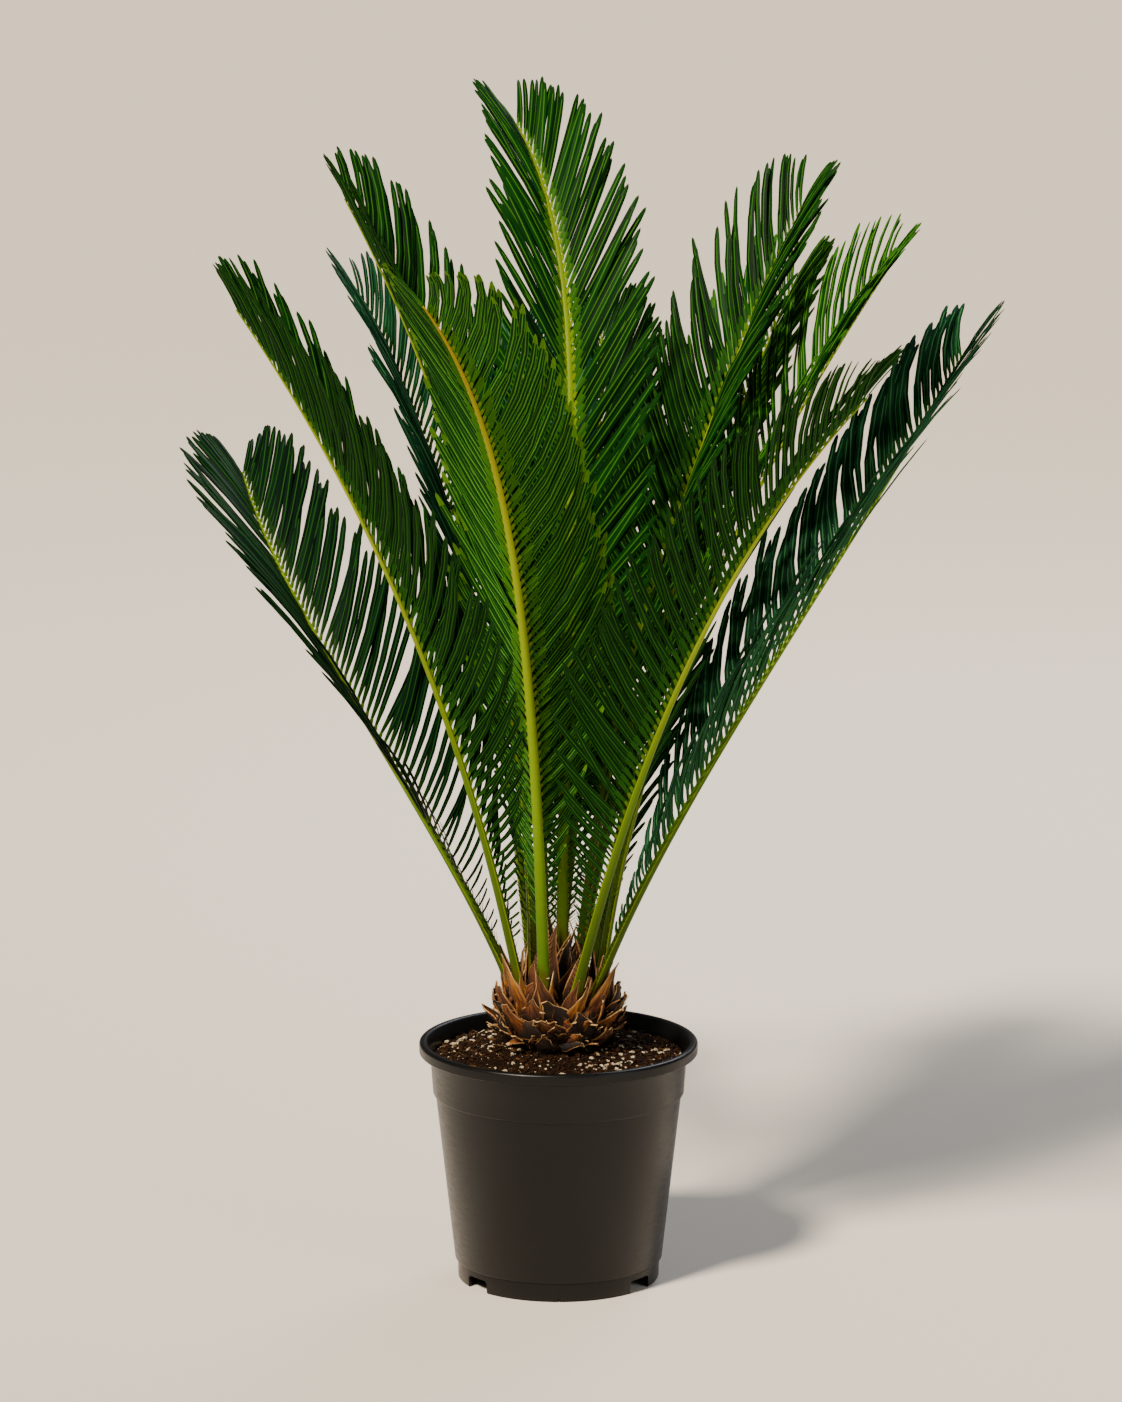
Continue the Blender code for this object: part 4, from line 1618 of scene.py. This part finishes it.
@dataclass
class SoilBed:
    """Damp potting mix, heaped a little round the trunk, with perlite and bark on its surface."""

    node: str = "soil"
    slot: str = "potting_soil"
    edge_height: float = 228 * MM
    centre_height: float = 242 * MM
    heap_radius: float = 52 * MM
    slope_radius: float = 92 * MM
    slope_rise: float = 4 * MM
    radius: float = 125 * MM
    floor_radius: float = 96 * MM
    floor_height: float = 17 * MM
    relief: float = 3.2 * MM
    relief_grain: float = 10 * MM
    turn_steps: int = 160
    rings: int = 60
    bare_radius: float = 46 * MM
    wall_gap: float = 2.5 * MM
    patch_gap: float = 3 * MM
    patch_share: float = 0.5
    patch_spread: float = 10 * MM
    smallness: int = 3
    crumb_tilt: float = 0.35
    fibre_count: int = 260
    seed: int = 5

    def height_at(self, x: float, y: float) -> float:
        """Height of the soil's surface.

        Args:
            x: Place across, in metres.
            y: Place back, in metres.

        Returns:
            The height in metres.
        """
        middle = self.centre_height
        radii = (0, self.heap_radius, self.slope_radius, self.radius)
        heights = (middle, middle, self.edge_height + self.slope_rise, self.edge_height)
        lump = lumps(Vector((x, y, 0)) / self.relief_grain)
        return float(np.interp(math.hypot(x, y), radii, heights)) + self.relief * lump

    def bed(self) -> bpy.types.Object:
        """Build the body of the soil, down to the pot's floor.

        Returns:
            The finished piece.
        """
        rings = range(self.rings + 1)
        outline = [(self.radius * ring / self.rings, self.centre_height) for ring in rings]
        outline += [(self.floor_radius, self.floor_height), (0.0, self.floor_height)]
        bm = turned(outline, self.turn_steps)
        for vert in bm.verts:
            if vert.co.z > self.floor_height + MM:
                vert.co.z = self.height_at(vert.co.x, vert.co.y)
        # Damp, nearly black ground for the paler crumbs
        mix = Grit("damp_potting_mix", "#050301", "#24140a", 3.5 * MM, 1.8 * MM)
        mesh = finished_mesh("soil_bed", bm)
        return new_piece(mesh.name, mesh, [mix.material()], self.node)

    def spot(self, rng: np.random.Generator) -> tuple[float, float]:
        """Pick a place on the surface, clear of the trunk and the wall.

        Args:
            rng: Source of the place.

        Returns:
            The place across and back, in metres.
        """
        outer = self.radius - self.wall_gap
        radius = math.sqrt(rng.uniform(self.bare_radius**2, outer**2))
        turn = rng.uniform(0, 2 * math.pi)
        return radius * math.cos(turn), radius * math.sin(turn)

    def fibres(self) -> bpy.types.Object:
        """Strew fine coir fibres over the surface.

        Returns:
            The finished piece.
        """
        rng = np.random.default_rng(self.seed + 9)
        strands = []
        for _ in range(self.fibre_count):
            x, y = self.spot(rng)
            turn = rng.uniform(0, 2 * math.pi)
            way = Vector((math.cos(turn), math.sin(turn), rng.normal(0.1, 0.15))).normalized()
            bend = Vector((rng.normal(0, 0.3), rng.normal(0, 0.3), rng.normal(-0.05, 0.1)))
            foot = Vector((x, y, self.height_at(x, y) + rng.uniform(1, 2.4) * MM))
            length = rng.uniform(4, 11) * MM
            strands.append(Strand(foot, way, bend, length, rng.uniform(0.25, 0.5) * MM))
        # Straw-coloured threads that break up the dark surface
        coir = Grit("coir_fibre", "#3c2410", "#7c5a30", 3 * MM, 0.1 * MM)
        mesh = strand_mesh("coir_fibres", strands)
        return new_piece(mesh.name, mesh, [coir.material()], self.node)

    def scatter(self, crumbs: Crumbs) -> bpy.types.Object:
        """Scatter one kind of crumb over the surface.

        Args:
            crumbs: The kind.

        Returns:
            The finished piece.
        """
        rng = np.random.default_rng(self.seed + crumbs.count)
        centres = [self.spot(rng) for _ in range(crumbs.patches)]
        template = bmesh.new()
        bmesh.ops.create_icosphere(template, subdivisions=crumbs.fineness, radius=0.5)
        template.verts.index_update()
        low, high = crumbs.sizes
        places = []
        for _ in range(crumbs.count):
            x, y = self.spot(rng)
            if centres and rng.random() < self.patch_share:
                centre = centres[int(rng.integers(crumbs.patches))]
                x, y = (float(value) for value in rng.normal(centre, self.patch_spread))
                far = max(math.hypot(x, y) / (self.radius - self.patch_gap), 1)
                x, y = x / far, y / far
            size = rng.uniform(0, 1) ** self.smallness * (high - low) + low
            spin = Matrix.Rotation(rng.uniform(0, 2 * math.pi), 4, "Z")
            tilt = Matrix.Rotation(rng.normal(0, self.crumb_tilt), 4, "X")
            shape = Matrix.Diagonal((*(size * part for part in crumbs.stretch), 1))
            lifted = self.height_at(x, y) + size * crumbs.stretch[2] * rng.uniform(0.05, 0.4)
            places.append(Matrix.Translation((x, y, lifted)) @ spin @ tilt @ shape)
        mesh = joined(crumbs.name, template, places, crumbs.roughen, self.seed)
        material = crumbs.finish.material()
        return new_piece(crumbs.name, mesh, [material], self.node, sharp=30)

    def build(self) -> None:
        """Build the soil and what lies on it.

        Each kind of crumb is one piece and is scattered from a seed of its own.
        """
        self.bed()
        # Brown lumps that make the surface look loose
        peat = Grit("peat_crumb", "#080402", "#3c2411", 2 * MM, 0.8 * MM)
        sizes = (1.2 * MM, 5.5 * MM)
        self.scatter(Crumbs("soil_crumbs", 4200, sizes, (1.2, 1, 0.8), peat, 1, 0.35))
        # Off-white specks, the brightest thing on the soil
        glass = Grit("expanded_perlite", "#8a785a", "#e6d8ba", 1.2 * MM, 0.5 * MM)
        sizes = (0.8 * MM, 4.8 * MM)
        self.scatter(Crumbs("perlite", 760, sizes, (1.5, 1, 0.7), glass, 2, 0.42, patches=44))
        # Mid-brown chips between the dark soil and the pale perlite
        bark = Grit("shredded_bark", "#2e1a0a", "#6e4c26", 2 * MM, 0.5 * MM)
        sizes = (2 * MM, 8 * MM)
        self.scatter(Crumbs("bark_shreds", 120, sizes, (2.0, 0.6, 0.4), bark, 1, 0.3))
        self.fibres()


@dataclass
class NurseryPot:
    """Round nursery pot: rolled rim, collar with a step under it, tapering body, notched foot."""

    height: float = 244 * MM
    rim_radius: float = 140 * MM
    rim_depth: float = 12 * MM
    rim_bore: float = 132 * MM
    collar_top: float = 129 * MM
    collar_foot: float = 126 * MM
    collar_foot_height: float = 191 * MM
    collar_step: float = 2.5 * MM
    body_foot: float = 104 * MM
    foot_height: float = 18.5 * MM
    foot_radius: float = 101.5 * MM
    foot_ring: float = 3.5 * MM
    wall: float = 2 * MM
    floor_under: float = 14 * MM
    floor_top: float = 16.5 * MM
    pad_radius: float = 30 * MM
    notch_bearings: tuple[float, ...] = (36, 144, 216, 324)
    notch_width: float = 31 * MM
    notch_height: float = 13 * MM
    notch_round: float = 4 * MM
    gate_bearing: float = 270
    gate_width: float = 3 * MM
    gate_height: float = 2.4 * MM
    lip: float = 3.2 * MM
    lip_turns: tuple[float, ...] = (0, 20, 40, 60, 80, 90)
    turn_steps: int = 180

    def body_radius(self, height: float) -> float:
        """Outer radius of the tapering body.

        Args:
            height: Height above the ground.

        Returns:
            The radius there.
        """
        share = (height - self.foot_height) / (self.collar_foot_height - self.foot_height)
        top = self.collar_foot - self.collar_step
        return self.body_foot + share * (top - self.body_foot)

    def outline(self) -> list[tuple[float, float]]:
        """Outline of the pot's section, from the middle of its floor inside to that underneath.

        Each edge is rounded by one or two points that are a millimetre or less from its corner.

        Returns:
            Radius and height of each point.
        """
        rim_foot = self.height - self.rim_depth
        step = self.collar_foot_height - 1.5 * MM
        ledge = self.foot_height + 2 * MM
        lip = self.lip
        turns = [math.radians(turn) for turn in self.lip_turns]
        rolled = [
            (self.rim_radius - lip + lip * math.sin(t), self.height - lip + lip * math.cos(t))
            for t in turns
        ]
        return [
            (0.0, self.floor_top),
            (self.foot_radius - self.wall - 3 * MM, self.floor_top),
            (self.body_radius(ledge) - self.wall, ledge + 1 * MM),
            (self.body_radius(step) - self.wall, step),
            (self.collar_foot - self.wall, self.collar_foot_height + 1.5 * MM),
            (self.collar_top - self.wall, rim_foot),
            (self.rim_bore - 0.6 * MM, self.height - 2.4 * MM),
            (self.rim_bore + 0.4 * MM, self.height - 0.7 * MM),
            (self.rim_bore + 2 * MM, self.height),
            *rolled,
            (self.rim_radius - 0.2 * MM, rim_foot + 1.2 * MM),
            (self.rim_radius - 1.1 * MM, rim_foot + 0.2 * MM),
            (self.rim_radius - 2.2 * MM, rim_foot),
            (self.collar_top + 0.8 * MM, rim_foot),
            (self.collar_top, rim_foot - 1 * MM),
            (self.collar_foot + 0.1 * MM, self.collar_foot_height + 1 * MM),
            (self.collar_foot - 0.4 * MM, self.collar_foot_height),
            (self.body_radius(step) + 0.4 * MM, step + 0.6 * MM),
            (self.body_radius(step), step - 0.6 * MM),
            (self.body_radius(ledge) + 0.1 * MM, ledge + 0.6 * MM),
            (self.body_radius(ledge) - 0.6 * MM, ledge - 0.4 * MM),
            (self.foot_radius + 0.1 * MM, self.foot_height),
            (self.foot_radius - 0.3 * MM, 1.2 * MM),
            (self.foot_radius - 1.2 * MM, 0.0),
            (self.foot_radius - self.foot_ring, 0.0),
            (self.foot_radius - self.foot_ring, self.floor_under),
            (self.pad_radius + 1 * MM, self.floor_under),
            (self.pad_radius, 0.0),
            (0.0, 0.0),
        ]

    def notch_cutter(self) -> bpy.types.Object:
        """Make the bodies that cut the drainage notches and the gate mark at the front.

        Returns:
            The cutting object.
        """
        bm = bmesh.new()
        cuts = [(bearing, self.notch_width, self.notch_height) for bearing in self.notch_bearings]
        cuts.append((self.gate_bearing, self.gate_width, self.gate_height))
        for bearing, width, height in cuts:
            made = bmesh.ops.create_cube(bm, size=1)["verts"]
            size = Matrix.Diagonal((4 * self.foot_ring, width, 2 * height, 1))
            turn = rotation(bearing, "Z")
            place = turn @ Matrix.Translation((self.foot_radius, 0, 0))
            bmesh.ops.transform(bm, matrix=place @ size, verts=made)
            along = turn.to_3x3() @ Vector((1, 0, 0))
            edges = dict.fromkeys(edge for vert in made for edge in vert.link_edges)
            # Only the two upper edges that run outwards are rounded
            top = [
                edge
                for edge in edges
                if abs((edge.verts[0].co - edge.verts[1].co).normalized().dot(along)) > 0.99
                and edge.verts[0].co.z > 0
            ]
            bmesh.ops.bevel(
                bm,
                geom=top,
                offset=min(self.notch_round, width / 4),
                segments=5,
                profile=0.5,
                affect="EDGES",
                material=-1,
            )
        return add_object("notch_cutter", finished_mesh("notch_cutter", bm))

    def build(self) -> bpy.types.Object:
        """Build the pot.

        Returns:
            The finished piece.
        """
        bm = turned(self.outline(), self.turn_steps)
        blank = add_object("pot_blank", finished_mesh("pot_whole", bm))
        cutter = self.notch_cutter()
        cut = blank.modifiers.new("notches", "BOOLEAN")
        cut.operation = "DIFFERENCE"
        cut.object = cutter
        graph = bpy.context.evaluated_depsgraph_get()
        mesh = bpy.data.meshes.new_from_object(blank.evaluated_get(graph))
        mesh.name = "pot_shell"
        mesh.materials.clear()
        bpy.data.objects.remove(blank, do_unlink=True)
        bpy.data.objects.remove(cutter, do_unlink=True)
        # Satin black whose soft highlights show the rim, the step and the taper
        plastic = MouldedPolypropylene()
        return new_piece("pot_shell", mesh, [plastic.material()], "pot", sharp=38)


@dataclass(frozen=True)
class SoftBox:
    """A square soft light that faces the plant; metres and watts."""

    name: str
    place: tuple[float, float, float]
    size: float
    power: float
    tint: str


@dataclass
class Studio:
    """Pale floor, soft light and the camera at the photograph's viewing angle."""

    floor_colour: str = "#efe7da"
    wall_colour: str = "#efe9df"
    floor_size: float = 60.0
    photo_width: int = 1122
    photo_height: int = 1402
    focal_pixels: float = 7194
    axis_pixel: float = 558.5
    camera_place: tuple[float, float, float] = (0.0, -7.0, 2.05)
    camera_down: float = 11.77
    sensor: float = 36.0
    clip_end: float = 100
    ambient: float = 0.13
    key_strength: float = 6.2
    key_spread: float = 10.0
    key_down: float = 48.0
    key_bearing: float = 232.0
    key_tint: str = "#fff0dc"
    boxes: tuple[SoftBox, ...] = (
        SoftBox("fill_light", (3.2, -2.6, 1.8), 2.4, 40, "#f2f6ff"),
        SoftBox("back_light", (1.2, 2.8, 3.0), 1.8, 60, "#f0f4ff"),
    )
    aim_height: float = 0.6

    def floor(self) -> bpy.types.Object:
        """Lay the floor.

        Returns:
            The floor, which isn't part of the object.
        """
        bm = bmesh.new()
        bmesh.ops.create_grid(bm, x_segments=1, y_segments=1, size=self.floor_size / 2)
        floor = add_object("floor", finished_mesh("floor", bm))
        # Plain warm white ground that shows the plant's outline and its soft shadow
        paper = Surface("pale_paper_floor", roughness=0.9)
        paper.inputs["Base Color"].default_value = linear(self.floor_colour)
        floor.data.materials.append(paper.material)
        return floor

    def sun(self) -> bpy.types.Object:
        """Hang the key light, far away and wide, so that the whole floor is lit alike.

        Returns:
            The light.
        """
        data = bpy.data.lights.new("key_light", "SUN")
        data.energy = self.key_strength
        data.angle = math.radians(self.key_spread)
        data.color = linear(self.key_tint)[:3]
        lamp = add_object("key_light", data)
        down = math.radians(self.key_down)
        bearing = math.radians(self.key_bearing)
        level = math.cos(down)
        source = Vector((level * math.cos(bearing), level * math.sin(bearing), math.sin(down)))
        lamp.rotation_euler = (-source).to_track_quat("-Z", "Y").to_euler()
        return lamp

    def soft_light(self, box: SoftBox) -> bpy.types.Object:
        """Hang one soft box that faces the plant.

        Args:
            box: The soft box.

        Returns:
            The light.
        """
        data = bpy.data.lights.new(box.name, "AREA")
        data.shape = "SQUARE"
        data.size = box.size
        data.energy = box.power
        data.color = linear(box.tint)[:3]
        lamp = add_object(box.name, data)
        lamp.location = box.place
        aim = Vector((0, 0, self.aim_height)) - Vector(box.place)
        lamp.rotation_euler = aim.to_track_quat("-Z", "Y").to_euler()
        return lamp

    def camera(self) -> bpy.types.Object:
        """Set up the camera, with the lens and the shift of the photograph.

        Returns:
            The camera.
        """
        data = bpy.data.cameras.new("camera")
        data.sensor_fit = "VERTICAL"
        data.sensor_height = self.sensor
        data.sensor_width = self.sensor * self.photo_width / self.photo_height
        data.lens = self.focal_pixels / self.photo_height * self.sensor
        data.shift_x = (self.photo_width / 2 - self.axis_pixel) / self.photo_height
        data.clip_end = self.clip_end
        camera = add_object("camera", data)
        camera.location = self.camera_place
        camera.rotation_euler = (math.radians(90 - self.camera_down), 0, 0)
        bpy.context.scene.camera = camera
        return camera

    def build(self) -> None:
        """Set up the floor, the lights, the world's soft light and the camera.

        None of them is part of the object.
        """
        self.floor()
        self.sun()
        for box in self.boxes:
            self.soft_light(box)
        world = bpy.data.worlds.new("studio")
        world.use_nodes = True
        background = world.node_tree.nodes["Background"]
        background.inputs["Color"].default_value = linear(self.wall_colour)
        background.inputs["Strength"].default_value = self.ambient
        bpy.context.scene.world = world
        self.camera()


def main() -> None:
    """Dress the plant piece by piece, then set up the studio.

    Every rib is walked first, because each frond's leaflets keep clear of all the other ribs.
    """
    ribs = [Rib(shape) for shape in FRONDS]
    tracks = [
        np.array([(*p, rib.width(i / Rib.STEPS) / 2) for i, p in enumerate(rib.points)])
        for rib in ribs
    ]
    pattern = LeafletPattern()
    for number, rib in enumerate(ribs):
        Stalk(rib).build()
        others = np.concatenate(tracks[:number] + tracks[number + 1 :])
        Foliage(rib, number, pattern).build(others)
    Crown().build(ribs)
    SoilBed().build()
    NurseryPot().build()
    Studio().build()


if __name__ == "__main__":
    logging.basicConfig(level=logging.INFO, format="%(name)s %(message)s")
    main()
